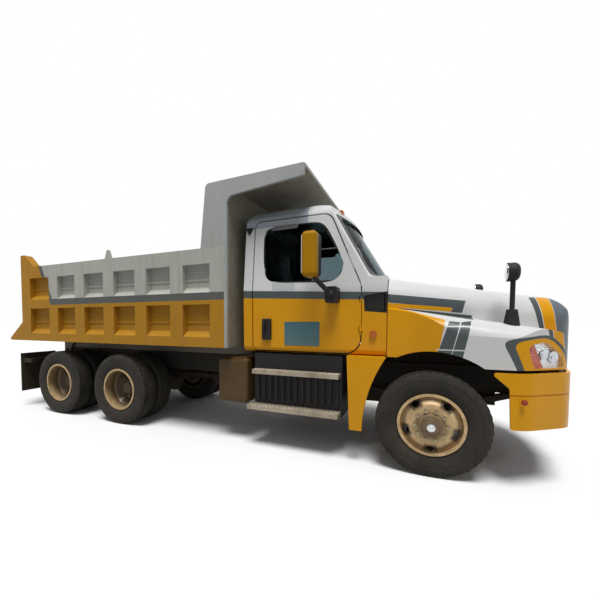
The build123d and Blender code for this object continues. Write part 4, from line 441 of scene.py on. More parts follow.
def lamp_run(tree, x, y):
    """Distance along the headlamp's face, which crosses the corner of the nose at 45 degrees."""
    run = calc(tree, "SUBTRACT", calc(tree, "SUBTRACT", x, apart(tree, y)), LAMP_CORNER)
    return both(tree, run, sqrt(0.5))


def make_hood_paint():
    """White hood with grey and yellow bands on its sides and round the headlamps."""
    finish, tree, shader = new_finish("hood banded paint")
    _, x, y, z = place(tree)
    colour = WHITE
    for paint, corners in HOOD_PATCHES:
        colour = mix(tree, above(tree, within(tree, x, z, outline_of(corners))), colour, paint)
    along = lamp_run(tree, x, y)
    ring = None
    for line, weight in LAMP_EDGES:
        edge = both(tree, beyond(tree, along, z, line), weight)
        ring = edge if ring is None else calc(tree, "SMOOTH_MAX", ring, edge, LAMP_ROUND)
    near = above(tree, x, LAMP_BANDS_REAR)
    for width, paint in LAMP_BANDS:
        colour = mix(tree, both(tree, below(tree, ring, width), near), colour, paint)
    finish_paint(tree, shader, colour, dust=(0.12, 0.9, 1.6), chips=0.06)
    return finish


def make_plain_paint(name, colour, **look):
    """Paint of one colour with wear and dust."""
    finish, tree, shader = new_finish(name)
    finish_paint(tree, shader, colour, **look)
    return finish


# Dump body paint

BAND_FOOT = 1.757
BAND_TOP = 1.852
GREY_END = spots((-5480, 1760), (-5767, 2398))
GREY_END_BAND = 0.075
BED_OUTSIDE = 1.19
HOLD_SIDE = 1.085
HOLD_FRONT = 0.38
HOLD_REAR = -3.52
CANOPY_SKIN = 1.168
CANOPY_CREST = 3.158


def make_bed_paint():
    """Grey over orange with a dark band on the middle rail, streaked, scraped in the hold."""
    finish, tree, shader = new_finish("bed worn paint")
    where, x, y, z = place(tree)
    out = apart(tree, y)
    upper = above(tree, z, BAND_FOOT)
    rear = beyond(tree, x, z, GREY_END)
    grey = both(tree, upper, below(tree, rear))
    colour = mix(tree, grey, BED_ORANGE, BED_GREY)
    band = either(tree, below(tree, z, BAND_TOP), above(tree, rear, -GREY_END_BAND))
    outside = above(tree, out, BED_OUTSIDE)
    colour = mix(tree, both(tree, both(tree, grey, band), outside), colour, BED_STRIPE)
    length = both(tree, below(tree, x, HOLD_FRONT), above(tree, x, HOLD_REAR))
    load_space = both(tree, below(tree, out, HOLD_SIDE), length)
    scrapes = noise(tree, stretched(tree, where, (1, 4, 14)), 2.0, detail=6)
    colour = mix(tree, load_space, colour, mix(tree, scrapes, *SCRAPED))
    upright = stretched(tree, where, (16, 16, 0.7))
    runs = ramp(tree, noise(tree, upright, 2.0, detail=5), 0.52, 0.80)
    colour = mix(tree, both(tree, runs, 0.45), colour, RUN_BROWN)
    rust = ramp(tree, noise(tree, where, 9.0, detail=8, rough=0.75), 0.63, 0.72)
    colour = mix(tree, both(tree, rust, 0.5), colour, RUST)
    finish_paint(tree, shader, colour, gloss=0.5, chips=0.35, dust=(0.22, 1.0, 2.6), coat=0.0,
                 under=BED_PRIMER)
    return finish


def make_canopy_paint():
    """Light grey outside, brown with dirt underneath and on the wall behind the cab."""
    finish, tree, shader = new_finish("canopy paint")
    where, _, y, z = place(tree)
    skin = either(tree, above(tree, apart(tree, y), CANOPY_SKIN), above(tree, z, CANOPY_CREST))
    patches = noise(tree, where, 4.0, detail=7, rough=0.7)
    colour = mix(tree, skin, mix(tree, patches, *SOIL), CANOPY_GREY)
    finish_paint(tree, shader, colour, gloss=0.55, chips=0.4, dust=(0.6, 1.2, 3.2), coat=0.05,
                 under=CANOPY_PRIMER)
    return finish


# Other finishes

def make_rough(name, dark, light, size, rough, dust, metal=0.0):
    """Grainy finish between two tones, with dust."""
    finish, tree, shader = new_finish(name)
    grain = effect(tree, "grain", Size=size)
    dusted, _ = dusty(tree, mix(tree, grain["Value"], dark, light), dust)
    dress(tree, shader, {
        "Base Color": dusted, "Roughness": scaled(tree, grain["Value"], 0.25, rough - 0.12),
        "Normal": grain["Normal"], "Metallic": metal, "Specular IOR Level": 0.15})
    return finish


def make_tyre_rubber():
    """Dark rubber, browned by dust on the tread and in the sidewall's rings."""
    finish, tree, shader = new_finish("tyre rubber")
    grain = effect(tree, "grain", Size=60.0)
    worn = ramp(tree, noise(tree, place(tree)[0], 7.0, detail=6, rough=0.7), 0.35, 0.8)
    dusted, _ = dusty(tree, mix(tree, worn, *RUBBER), (0.14, 0.0, 1.3))
    dress(tree, shader, {
        "Base Color": dusted, "Roughness": scaled(tree, grain["Value"], 0.2, 0.62), "Normal": grain["Normal"],
        "Specular IOR Level": 0.2})
    return finish


def make_glass(name, tint, rough, bend):
    """Clear tinted glass with an uneven film; bend is its refraction."""
    finish, tree, shader = new_finish(name)
    film = noise(tree, place(tree)[0], 3.0, detail=5)
    dress(tree, shader, {
        "Base Color": tint, "Roughness": scaled(tree, film, 0.05, rough),
        "Transmission Weight": 1.0, "IOR": bend})
    return finish


def make_lens(name, front, back, split):
    """Coloured lens with fine upright ribs; the colour changes at a place along the truck."""
    finish, tree, shader = new_finish(name)
    where, x, y, _ = place(tree)
    colour = mix(tree, below(tree, x, split), front, back)
    film = both(tree, noise(tree, where, 12.0), 0.5)
    ribs = waves(tree, calc(tree, "ADD", x, y), 700.0)
    dress(tree, shader, {
        "Base Color": mix(tree, film, colour, LENS_FILM),
        "Normal": bump(tree, ribs, strength=0.4, distance=0.002),
        "Roughness": scaled(tree, noise(tree, where, 20.0), 0.15, 0.12),
        "Coat Weight": 0.15, "Specular IOR Level": 0.2})
    return finish


SIGNAL_EDGE = ((-0.015, 1.08), (-0.125, 1.30))


def make_lamp_inside():
    """Inside of the headlamp: bright faceted reflector with a red-amber signal at its outer end."""
    finish, tree, shader = new_finish("headlamp inside")
    where, x, y, z = place(tree)
    signal = above(tree, beyond(tree, lamp_run(tree, x, y), z, SIGNAL_EDGE))
    bright = mix(tree, noise(tree, where, 14.0), *REFLECTOR)
    dress(tree, shader, {
        "Base Color": mix(tree, signal, bright, SIGNAL_RED),
        "Metallic": scaled(tree, signal, -0.85, 0.85),
        "Roughness": scaled(tree, noise(tree, where, 30.0), 0.15, 0.15),
        "Normal": bump(tree, waves(tree, z, 420.0), strength=0.5, distance=0.003)})
    return finish


HEAD_FOOT = 1.9448
HEAD_INNER_Y = 1.214
HEAD_OUTER_Y = 1.37
HEAD_FRONT = FRONT_AXLE - 1.064


def make_mirror_shell():
    """Mirror heads: yellow shell with a black front edge; arms, feet and handles black."""
    finish, tree, shader = new_finish("mirror shell and black trim")
    _, x, y, z = place(tree)
    out = apart(tree, y)
    head = both(tree, above(tree, z, HEAD_FOOT), above(tree, out, HEAD_INNER_Y))
    yellow = both(tree, head, either(tree, below(tree, x, HEAD_FRONT), above(tree, out, HEAD_OUTER_Y)))
    grain = effect(tree, "grain", Size=420.0)
    black = mix(tree, grain["Value"], *PLASTIC)
    dress(tree, shader, {
        "Base Color": mix(tree, yellow, black, SHADED_YELLOW),
        "Roughness": scaled(tree, grain["Value"], 0.25, 0.30),
        "Normal": grain["Normal"], "Specular IOR Level": 0.15})
    return finish


HUB_DARK_R = (0.150, 0.095)
GUTTER_R = 0.235
GUTTER_HALF = 0.022
HAND_HOLES = 5
HAND_HOLE_R = 0.225
HAND_HOLE_HALF = (0.050, 0.022)
DISH_Y = (1.20, 0.98)


def make_wheel_paint(name, axle):
    """Faded gold about one axle, darker at hub and gutter; painted shade in dual dishes, round front hand
    holes.
    """
    finish, tree, shader = new_finish(name)
    where, x, y, z = place(tree)
    ahead = calc(tree, "SUBTRACT", x, axle)
    up = calc(tree, "SUBTRACT", z, AXLE_Z)
    radius = calc(tree, "SQRT", scaled(tree, ahead, ahead, both(tree, up, up)))
    stains = ramp(tree, noise(tree, where, 16.0, detail=7, rough=0.7), 0.40, 0.72)
    colour = mix(tree, both(tree, stains, 0.65), *GOLD)
    # Darker round the hub and in the gutter
    hub = both(tree, ramp(tree, radius, *HUB_DARK_R), 0.75)
    gutter = both(tree, ramp(tree, apart(tree, radius, GUTTER_R), GUTTER_HALF, 0.0), 0.7)
    colour = mix(tree, either(tree, hub, gutter), colour, WHEEL_DARK_TONE)
    # Front wheels: painted shade in five lobes round the hand holes
    if axle == FRONT_AXLE:
        turn = calc(tree, "ARCTAN2", up, ahead)
        lobes = calc(tree, "COSINE", scaled(tree, turn, HAND_HOLES, HAND_HOLES * pi / 2))
        band = ramp(tree, apart(tree, radius, HAND_HOLE_R), *HAND_HOLE_HALF)
        holes = both(tree, ramp(tree, lobes, 0.0, 0.5), band)
        colour = mix(tree, both(tree, holes, 0.92), colour, HAND_HOLE_SHADE)
    else:
        # Dual wheels: painted shade deep in the dish
        deep = ramp(tree, apart(tree, y), *DISH_Y)
        colour = mix(tree, both(tree, deep, 0.9), colour, DISH_SHADE)
    finish_paint(tree, shader, colour, gloss=0.42, chips=0.5, dust=(0.2, 0.0, 1.2), coat=0.1,
                 under=GOLD_PRIMER)
    dress(tree, shader, {"Metallic": 0.25})
    return finish


def make_step_plate():
    """Cream-grey alloy tread with rows of raised bars."""
    finish, tree, shader = new_finish("step tread plate")
    where, x, y, _ = place(tree)
    bars = both(tree, waves(tree, x, 210.0), waves(tree, y, 160.0))
    grime = ramp(tree, noise(tree, where, 5.0, detail=5), 0.35, 0.8)
    dress(tree, shader, {
        "Base Color": mix(tree, grime, *TREAD), "Roughness": scaled(tree, grime, 0.3, 0.4),
        "Normal": bump(tree, bars, strength=0.5, distance=0.004), "Metallic": 0.35})
    return finish


WEAVE_PITCH = 2400.0


def make_cloth():
    """Dark woven seat cloth."""
    finish, tree, shader = new_finish("seat cloth")
    where, x, y, z = place(tree)
    weave = both(tree, waves(tree, calc(tree, "ADD", x, z), WEAVE_PITCH), waves(tree, y, WEAVE_PITCH))
    shade = scaled(tree, weave, 0.3, 0.5)
    dress(tree, shader, {
        "Base Color": mix(tree, shade, *CLOTH),
        "Normal": bump(tree, weave, strength=0.4, distance=0.001),
        "Roughness": scaled(tree, noise(tree, where, 40.0), 0.1, 0.85), "Sheen Weight": 0.3})
    return finish


def make_metal(name, colour, rough):
    """Bright metal with a slightly uneven polish."""
    finish, tree, shader = new_finish(name)
    film = noise(tree, place(tree)[0], 18.0, detail=5)
    dull = tuple(0.75 * part for part in colour[:3]) + (1,)
    dress(tree, shader, {
        "Base Color": mix(tree, film, colour, dull), "Roughness": scaled(tree, film, 0.12, rough),
        "Metallic": 1.0})
    return finish


def make_panel_paint():
    """Blank blue door panel, paler and scuffed towards its lower edge."""
    finish, tree, shader = new_finish("blank door panel")
    z = place(tree)[3]
    colour = mix(tree, ramp(tree, z, 1.24, 1.50), *PANEL_BLUE)
    finish_paint(tree, shader, colour, gloss=0.35, chips=0.2, dust=(0.4, 1.0, 1.6), coat=0.3)
    return finish


CAB_PAINT = make_cab_paint()
HOOD_PAINT = make_hood_paint()
YELLOW_PAINT = make_plain_paint("yellow paint", YELLOW, dust=(0.16, 0.3, 1.1), chips=0.06)
# The tanks' ochre is darkened with painted shade
TANK_PAINT = make_plain_paint("tank ochre paint", SHADED_TANK_OCHRE, gloss=0.35, dust=(0.25, 0.2, 1.2), coat=0.1,
                              under=TANK_PRIMER)
BED_PAINT = make_bed_paint()
CANOPY_PAINT = make_canopy_paint()
PANEL_PAINT = make_panel_paint()
WHEEL_GOLD = {axle: make_wheel_paint(f"{axle} wheel gold paint", x) for axle, x in AXLE_X.items()}
BED_STEEL = make_rough("bed floor steel", (0.07, 0.065, 0.055, 1), (0.22, 0.20, 0.17, 1),
                       size=12.0, rough=0.6, dust=(0.5, 0.8, 2.0), metal=0.4)
CHASSIS_BLACK = make_rough("chassis black", (0.010, 0.010, 0.010, 1), (0.035, 0.032, 0.028, 1),
                           size=40.0, rough=0.6, dust=(0.16, 0.2, 1.3))
AXLE_IRON = make_rough("cast iron", (0.025, 0.022, 0.019, 1), (0.08, 0.065, 0.05, 1),
                       size=90.0, rough=0.75, dust=(0.25, 0.2, 1.2), metal=0.3)
DARK_PLASTIC = make_rough("grained plastic", PLASTIC[0], (0.032, 0.032, 0.034, 1),
                          size=420.0, rough=0.5, dust=(0.10, 0.3, 1.4))
FLAP_RUBBER = make_rough("flap rubber", (0.016, 0.013, 0.010, 1), (0.06, 0.045, 0.03, 1),
                         size=30.0, rough=0.8, dust=(0.2, 0.1, 1.2))
SEAL_RUBBER = make_rough("seal rubber", (0.010, 0.010, 0.010, 1), (0.026, 0.025, 0.024, 1),
                         size=150.0, rough=0.65, dust=(0.2, 0.3, 1.4))
VISOR_PLASTIC = make_rough("smoked visor", (0.10, 0.10, 0.105, 1), (0.17, 0.17, 0.175, 1),
                           size=200.0, rough=0.35, dust=(0.2, 0.3, 1.4))
TYRE_RUBBER = make_tyre_rubber()
WINDOW_GLASS = make_glass("window glass", (0.30, 0.37, 0.39, 1), rough=0.0, bend=1.03)
LENS_GLASS = make_glass("headlamp glass", (0.93, 0.95, 0.96, 1), rough=0.02, bend=1.2)
LAMP_LENS = make_lens("lamp lens", LENS_AMBER, LENS_RED, split=-1.0)
MARKER_LENS = make_lens("marker lens", MARKER_RED, MARKER_RED, split=-9.0)
LAMP_INSIDE = make_lamp_inside()
STEP_PLATE = make_step_plate()
MIRROR_SHELL = make_mirror_shell()
SEAT_CLOTH = make_cloth()
CHROME = make_metal("hard chrome", (0.72, 0.73, 0.75, 1), rough=0.12)
MIRROR_GLASS = make_metal("mirror glass", (0.80, 0.83, 0.85, 1), rough=0.02)
NUT_STEEL = make_metal("nut steel", (0.34, 0.28, 0.19, 1), rough=0.38)


def paint_all(piece, finish):
    """Give the whole piece one finish."""
    piece.data.materials.clear()
    piece.data.materials.append(finish)


NODE_FINISHES = [
    (CAB_PAINT, ("cab_shell", "door_right", "door_left")),
    (HOOD_PAINT, ("hood_shell",)),
    (YELLOW_PAINT, ("bumper", "quarter_fenders")),
    (BED_PAINT, ("bed_sides", "tailgate")),
    (CANOPY_PAINT, ("bed_front", "canopy")),
    (BED_STEEL, ("bed_floor",)),
    (CHASSIS_BLACK, ("frame_rails", "crossmembers", "hoist_barrel")),
    (AXLE_IRON, ("engine", "front_axle", "springs", "rear_axles", "drive_shafts")),
    (AXLE_IRON, ("knuckle_right", "knuckle_left", "tie_rod")),
    (WINDOW_GLASS, ("cab_glass", "door_glass_right", "door_glass_left")),
    (LENS_GLASS, ("headlamp_lenses",)),
    (LAMP_INSIDE, ("headlamps",)),
    (LAMP_LENS, ("lamps",)),
    (STEP_PLATE, ("steps",)),
    (DARK_PLASTIC, ("step_box", "grille", "dashboard", "fender_mirrors")),
    (MIRROR_SHELL, ("door_fittings_right", "door_fittings_left")),
    (TANK_PAINT, ("tanks",)),
    (FLAP_RUBBER, ("mudflaps",)),
    (CHROME, ("hoist_stage_1", "hoist_stage_2", "hoist_rod")),
]
NODE_FINISHES += [(gold, (f"wheel_{axle}_left", f"wheel_{axle}_right")) for axle, gold in WHEEL_GOLD.items()]
for coat, names in NODE_FINISHES:
    for name in names:
        paint_all(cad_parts[name], coat)


# Modelling helpers

UP = (0, 0, 1)
LEFT = (0, 1, 0)
RIGHT = (0, -1, 0)
REAR = (-1, 0, 0)
ALONG_X = (0, pi / 2, 0)
ALONG_Y = (pi / 2, 0, 0)
ALONG_Z = (0, 0, 0)
END_SLACK = 0.0005


def fresh(add, **size):
    """Add a primitive with nothing else selected and start shaping it."""
    bpy.ops.object.select_all(action="DESELECT")
    add(**size)
    piece = bpy.context.object
    bpy.ops.object.transform_apply(location=True, rotation=True, scale=True)
    bpy.ops.object.mode_set(mode="EDIT")
    bpy.ops.mesh.select_mode(type="FACE")
    return piece


def block(low, high):
    """A block between two corners, ready to be shaped."""
    low, high = Vector(low), Vector(high)
    return fresh(bpy.ops.mesh.primitive_cube_add, size=1, location=(low + high) / 2, scale=high - low)


def disc(vertices, radius, depth, middle=(0, 0, 0), turn=ALONG_Y):
    """A round blank, ready to be shaped."""
    return fresh(bpy.ops.mesh.primitive_cylinder_add, vertices=vertices, radius=radius, depth=depth,
                 location=middle, rotation=turn)


def pick_all():
    """Select the whole piece."""
    bpy.ops.mesh.select_all(action="SELECT")


def pick(piece, test):
    """Select faces by their middle and normal."""
    bpy.ops.mesh.select_mode(type="FACE")
    bpy.ops.mesh.select_all(action="DESELECT")
    for face in bmesh.from_edit_mesh(piece.data).faces:
        if test(face.calc_center_median(), face.normal):
            face.select_set(True)
    bmesh.update_edit_mesh(piece.data)


def pick_facing(piece, way):
    """Select the faces that look along a direction."""
    pick(piece, lambda at, normal: normal.dot(Vector(way)) > 0.9)


def pick_end(piece, way):
    """Select the faces that lie furthest along a direction."""
    way = Vector(way)
    end = max(face.calc_center_median().dot(way) for face in bmesh.from_edit_mesh(piece.data).faces)
    pick(piece, lambda at, normal: at.dot(way) > end - END_SLACK)


def cut_across(point, normal):
    """Cut the whole piece by a plane, both halves kept."""
    pick_all()
    bpy.ops.mesh.bisect(plane_co=point, plane_no=normal)


def pull(offset):
    """Extrude what is selected and move it."""
    bpy.ops.mesh.extrude_region_move(TRANSFORM_OT_translate={"value": offset})


def sink(share):
    """Extrude what is selected and draw it in towards the y axis."""
    bpy.ops.mesh.extrude_region()
    bpy.ops.transform.resize(value=(share, 1, share), center_override=(0, 0, 0))


def step_in(*steps, alone=False):
    """Inset the selection in steps of a width and a rise; alone takes each face by itself."""
    for width, rise in steps:
        bpy.ops.mesh.inset(thickness=width, depth=rise, use_individual=alone)


def work_face(piece, way, *steps):
    """Shape the face along a direction: a pair insets by width and rise, a triple pulls."""
    pick_facing(piece, way)
    for step in steps:
        if len(step) == 2:
            step_in(step)
        else:
            pull(step)


def round_off(width, segments=2):
    """Bevel all sharp edges of the piece being shaped."""
    bpy.ops.mesh.select_mode(type="EDGE")
    bpy.ops.mesh.select_all(action="DESELECT")
    bpy.ops.mesh.edges_select_sharp(sharpness=radians(40))
    bpy.ops.mesh.bevel(offset=width, segments=segments, affect="EDGES")


def done(piece, name, finish, angle=40):
    """Leave edit mode, name and paint the piece."""
    pick_all()
    bpy.ops.mesh.normals_make_consistent(inside=False)
    bpy.ops.object.mode_set(mode="OBJECT")
    bpy.ops.object.shade_smooth_by_angle(angle=radians(angle))
    piece.name = name
    piece.data.name = name
    paint_all(piece, finish)
    return piece


def copy_of(piece, name, turn):
    """A copy with its own mesh, moved by a matrix."""
    mesh = piece.data.copy()
    mesh.transform(turn)
    if turn.determinant() < 0:
        mesh.flip_normals()
    twin = bpy.data.objects.new(name, mesh)
    scene.collection.objects.link(twin)
    return twin


def pair_of(piece, side, other):
    """Name a piece by its side and mirror it; both by their sides."""
    kind = piece.name
    twin = copy_of(piece, f"{other}_{kind}", OTHER_SIDE)
    piece.name = f"{side}_{kind}"
    return {side: piece, other: twin}


def joined(pieces, name):
    """Several pieces as one."""
    whole = pieces[0]
    if len(pieces) > 1:
        bpy.ops.object.select_all(action="DESELECT")
        for piece in pieces:
            piece.select_set(True)
        bpy.context.view_layer.objects.active = whole
        bpy.ops.object.join()
    whole.name = name
    whole.data.name = name
    return whole


def fit(piece, body):
    """Put a piece on its body."""
    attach(piece, body)


# Tyres; the sidewall runs inwards from the crown in steps of a width and a rise

TYRE_R = 0.505
CROWN_HALF = 0.110
TYRE_SEGMENTS = 88
GROOVES = ((0.036, 0.046), (0.078, 0.086))
GROOVE_FLOOR = 0.974
LUG_START = 0.086
LUG_R = 0.496
LUG_FLOOR = 0.982
SIDEWALL = (
    (0.008, 0.008), (0.030, 0.012), (0.024, 0.003), (0.010, 0.002), (0.004, -0.003), (0.046, 0.003),
    (0.030, -0.008), (0.030, -0.013), (0.018, -0.010), (0.006, -0.004), (0.0125, 0.0),
)
TYRE_PLACES = {"front": (1.045,), "mid": (1.07, 0.74), "rear": (1.07, 0.74)}
DUAL_TURN = 0.7
SIDE_TURN = 0.3


def is_notch(at, normal):
    """Every second segment of the tyre's shoulders."""
    spoke = Vector((at.x, at.z))
    segment = floor(spoke.angle_signed(Vector((1, 0))) * TYRE_SEGMENTS / (2 * pi))
    return abs(at.y) > LUG_START and spoke.length > LUG_R and segment % 2 == 0


def make_tyre():
    """Ribbed tyre about the origin: grooved crown, notched shoulders, ringed sidewalls, beads."""
    tyre = disc(TYRE_SEGMENTS, TYRE_R, 2 * CROWN_HALF)
    for y in [edge for groove in GROOVES for edge in groove]:
        for cut in (-y, y):
            cut_across((0, cut, 0), LEFT)
    for low, high in GROOVES:
        pick(tyre, lambda at, normal: abs(normal.y) < 0.5 and low < abs(at.y) < high)
        sink(GROOVE_FLOOR)
    pick(tyre, lambda at, normal: abs(normal.y) > 0.9 and abs(at.y) > CROWN_HALF - 0.001)
    step_in(*SIDEWALL, alone=True)
    bpy.ops.mesh.bridge_edge_loops()
    pick(tyre, is_notch)
    sink(LUG_FLOOR)
    return done(tyre, "tyre", TYRE_RUBBER, angle=32)


tyre = make_tyre()
for axle, places in TYRE_PLACES.items():
    for side, sign in SIDES.items():
        made = []
        for i, y in enumerate(places):
            middle = Matrix.Translation((AXLE_X[axle], sign * y, AXLE_Z))
            turn = Matrix.Rotation(DUAL_TURN * i + SIDE_TURN * sign, 4, "Y")
            made.append(copy_of(tyre, f"{axle}_{side}_tyre_{i}", middle @ turn))
        piece = joined(made, f"{axle}_{side}_tread_tyre")
        fit(piece, f"{axle}_{side}_wheel")
        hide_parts(f"tyre_{axle}_{side}")
bpy.data.objects.remove(tyre)


# Wheel nuts and hub caps; each ring stands at a face and radius

NUTS = 10
NUT_RINGS = {"front": (1.173, 0.140), "mid": (0.919, 0.165), "rear": (0.919, 0.165)}
WASHER_R = 0.021
WASHER = 0.005
NUT_HEIGHT = 0.020
STUD_HEIGHT = 0.010
CAP_R = 0.036
CAP_FOOT = 0.010
CAP_HEIGHT = 0.012
CAP_OUT = 0.0835


def make_nut():
    """Wheel nut on its washer, with a stud end, standing on y = 0."""
    nut = disc(12, WASHER_R, WASHER, (0, WASHER / 2, 0))
    work_face(nut, LEFT, (0.005, 0), (0, NUT_HEIGHT, 0), (0.006, 0), (0, STUD_HEIGHT, 0))
    return done(nut, "nut", NUT_STEEL, angle=30)


def make_hub_cap():
    """Small bright cap on the front hub, standing on y = 0."""
    cap = disc(32, CAP_R, CAP_FOOT, (0, CAP_FOOT / 2, 0))
    work_face(cap, LEFT, (0.007, 0), (0, CAP_HEIGHT, 0), (0.009, 0.006), (0.008, -0.003))
    return done(cap, "cap", CHROME, angle=35)


nut = make_nut()
cap = make_hub_cap()
for axle, (face, radius) in NUT_RINGS.items():
    for side, sign in SIDES.items():
        turn_out = Matrix.Identity(4) if sign > 0 else Matrix.Rotation(pi, 4, "X")
        middle = Matrix.Translation((AXLE_X[axle], sign * face, AXLE_Z)) @ turn_out
        made = []
        for i in range(NUTS):
            turn = 2 * pi * i / NUTS
            on_ring = Matrix.Translation((radius * cos(turn), 0, radius * sin(turn)))
            made.append(copy_of(nut, f"nut_{i}", middle @ on_ring))
        ring = joined(made, f"{axle}_{side}_wheel_nuts")
        fit(ring, f"{axle}_{side}_wheel")
        if axle == "front":
            crown = copy_of(cap, f"front_{side}_hub_cap", middle @ Matrix.Translation((0, CAP_OUT, 0)))
            fit(crown, f"front_{side}_wheel")
bpy.data.objects.remove(nut)
bpy.data.objects.remove(cap)


# Seats, as blocks between two corners for the left one

SEAT_MIDDLE = 0.485
SEAT_PAD = ((0.995, 0.255, 1.500), (1.425, 0.715, 1.600))
BACK_PAD = ((0.955, 0.265, 1.610), (1.045, 0.705, 2.090))
BACK_LEAN = radians(11)
BACK_FOOT = (1.0, SEAT_MIDDLE, 1.61)
SEAT_BASE = ((0.93, 0.29, 1.150), (1.39, 0.68, 1.36))
BOLSTER_START = 0.15
BOLSTER_RISE = 0.022
HEAD_HALF = 0.12
HEAD_NECK = 0.05
HEAD_HEIGHT = 0.09
BASE_NECK = 0.125
BASE_FLARE = (1.05, 1.2, 1)
PAD_CUTS = 5
PAD_VOXEL = 0.009
PAD_TRAVEL = 0.008
PAD_PRESSURE = 4
PAD_STEPS = 20


def gridded(low, high):
    """A block with a grid of cuts on every face."""
    pad = block(low, high)
    pick_all()
    bpy.ops.mesh.subdivide(number_cuts=PAD_CUTS)
    return pad


def swollen(pad):
    """Blow the pad up with cloth pressure, no point further than the pad's travel."""
    bpy.ops.object.mode_set(mode="OBJECT")
    remesh = pad.modifiers.new("even skin", "REMESH")
    remesh.mode = "VOXEL"
    remesh.voxel_size = PAD_VOXEL
    bpy.ops.object.modifier_apply(modifier=remesh.name)
    before = [vertex.co.copy() for vertex in pad.data.vertices]
    cloth = pad.modifiers.new("padding", "CLOTH")
    cloth.settings.use_pressure = True
    cloth.settings.uniform_pressure_force = PAD_PRESSURE
    cloth.settings.effector_weights.gravity = 0
    cloth.settings.quality = 4
    for step in range(1, PAD_STEPS + 1):
        scene.frame_set(step)
    bpy.ops.object.modifier_apply(modifier=cloth.name)
    scene.frame_set(1)
    for vertex, start in zip(pad.data.vertices, before):
        moved = vertex.co - start
        if moved.length > PAD_TRAVEL:
            vertex.co = start + moved * (PAD_TRAVEL / moved.length)
    smooth = pad.modifiers.new("smooth skin", "SUBSURF")
    smooth.levels = smooth.render_levels = 1
    bpy.ops.object.modifier_apply(modifier=smooth.name)
    bpy.ops.object.mode_set(mode="EDIT")


def make_seat_pad():
    """Seat cushion with side bolsters."""
    pad = gridded(*SEAT_PAD)
    pick(pad, lambda at, normal: normal.z > 0.9 and abs(at.y - SEAT_MIDDLE) > BOLSTER_START)
    pull((0, 0, BOLSTER_RISE))
    round_off(0.016, segments=3)
    swollen(pad)
    return done(pad, "seat_pad", SEAT_CLOTH, angle=60)


def make_back_pad():
    """Leaning backrest with bolsters and a head cushion above."""
    pad = gridded(*BACK_PAD)
    pick(pad, lambda at, normal: normal.x > 0.9 and abs(at.y - SEAT_MIDDLE) > BOLSTER_START)
    pull((BOLSTER_RISE, 0, 0))
    pick(pad, lambda at, normal: normal.z > 0.9 and abs(at.y - SEAT_MIDDLE) < HEAD_HALF)
    pull((0, 0, HEAD_NECK))
    pull((0, 0, HEAD_HEIGHT))
    round_off(0.012)
    pick_all()
    bpy.ops.transform.rotate(value=BACK_LEAN, orient_axis="Y", center_override=BACK_FOOT)
    swollen(pad)
    return done(pad, "back_pad", SEAT_CLOTH, angle=60)


def make_seat_base():
    """Pressed pedestal under a cushion."""
    base = block(*SEAT_BASE)
    work_face(base, UP, (0.05, 0), (0, 0, BASE_NECK))
    bpy.ops.transform.resize(value=BASE_FLARE)
    round_off(0.012)
    return done(base, "seat_base", DARK_PLASTIC)


SEAT_PARTS = {make_seat_pad: "seat_cloth", make_back_pad: "seat_cloth", make_seat_base: "dark_plastic"}
for make, slot in SEAT_PARTS.items():
    for piece in pair_of(make(), "left", "right").values():
        fit(piece, "chassis")
        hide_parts("seats")


# Mirror glass, markers and trim, each made for the right side

DOOR_PANE = ((1.466, -1.437, 1.985), (1.472, -1.243, 2.365))
DOOR_PANE_SPLIT = (0, 0, 2.105)
ROUND_PANE = (FRONT_AXLE + 0.5825, -1.0, 1.935)
ROUND_PANE_R = 0.076
DOOR_PANEL = ((1.144, -1.0445, 1.216), (1.556, -1.0395, 1.488))
DOOR_PANEL_MIDDLE = (1.35, -1.042, 1.35)
DOOR_LEAN = radians(-1.19)
VISOR = ((0.945, -1.000, 2.560), (1.275, -0.972, 2.612))
VISOR_LEAN = (0.03, 0.012, 0)
VISOR_TAPER = (0.9, 0.5, 1)
VENT_MIDDLE = (0.66, -0.972, 2.598)
VENT_R = 0.062
MARKER_MIDDLE = (3.38, -1.189, 0.80)
MARKER_R = 0.024
GRIP_FOOT = ((0.885, -1.094, 1.335), (0.915, -1.074, 1.365))
GRIP_RUN = ((0, -0.014, 0.03), (0, 0, 0.09), (0, 0.014, 0.03))


def make_door_mirror_glass():
    """Two stacked mirror panes in a raised frame on the rear of the mirror head."""
    pane = block(*DOOR_PANE)
    cut_across(DOOR_PANE_SPLIT, UP)
    pick_facing(pane, REAR)
    step_in((0.010, 0), alone=True)
    pull((0.003, 0, 0))
    round_off(0.0012, segments=1)
    return done(pane, "door_mirror_glass", MIRROR_GLASS, angle=30)


def make_fender_mirror_glass():
    """Bulged round pane on the rear of the fender mirror."""
    pane = disc(40, ROUND_PANE_R, 0.006, ROUND_PANE, ALONG_X)
    work_face(pane, REAR, (0.006, 0.003), (0.02, 0.004), (0.02, 0.003), (0.02, 0.001))
    return done(pane, "fender_mirror_glass", MIRROR_GLASS)


def make_door_panel():
    """Blank panel on the door, with a rolled edge."""
    panel = block(*DOOR_PANEL)
    work_face(panel, RIGHT, (0.010, 0), (0, 0.0012, 0))
    round_off(0.0008, segments=1)
    pick_all()
    bpy.ops.transform.rotate(value=DOOR_LEAN, orient_axis="X", center_override=DOOR_PANEL_MIDDLE)
    return done(panel, "door_panel", PANEL_PAINT, angle=30)


def make_rain_visor():
    """Smoked strip over the rear of the door's window."""
    strip = block(*VISOR)
    pick_facing(strip, UP)
    bpy.ops.transform.translate(value=VISOR_LEAN)
    bpy.ops.transform.resize(value=VISOR_TAPER)
    round_off(0.006)
    return done(strip, "rain_visor", VISOR_PLASTIC)


def make_pillar_vent():
    """Three-sided vent on the rear pillar with a sunk middle, its point down."""
    vent = disc(3, VENT_R, 0.022, VENT_MIDDLE, (-pi / 2, 0, 0))
    work_face(vent, RIGHT, (0.012, 0), (0, 0.008, 0))
    round_off(0.004)
    return done(vent, "pillar_vent", SEAL_RUBBER)


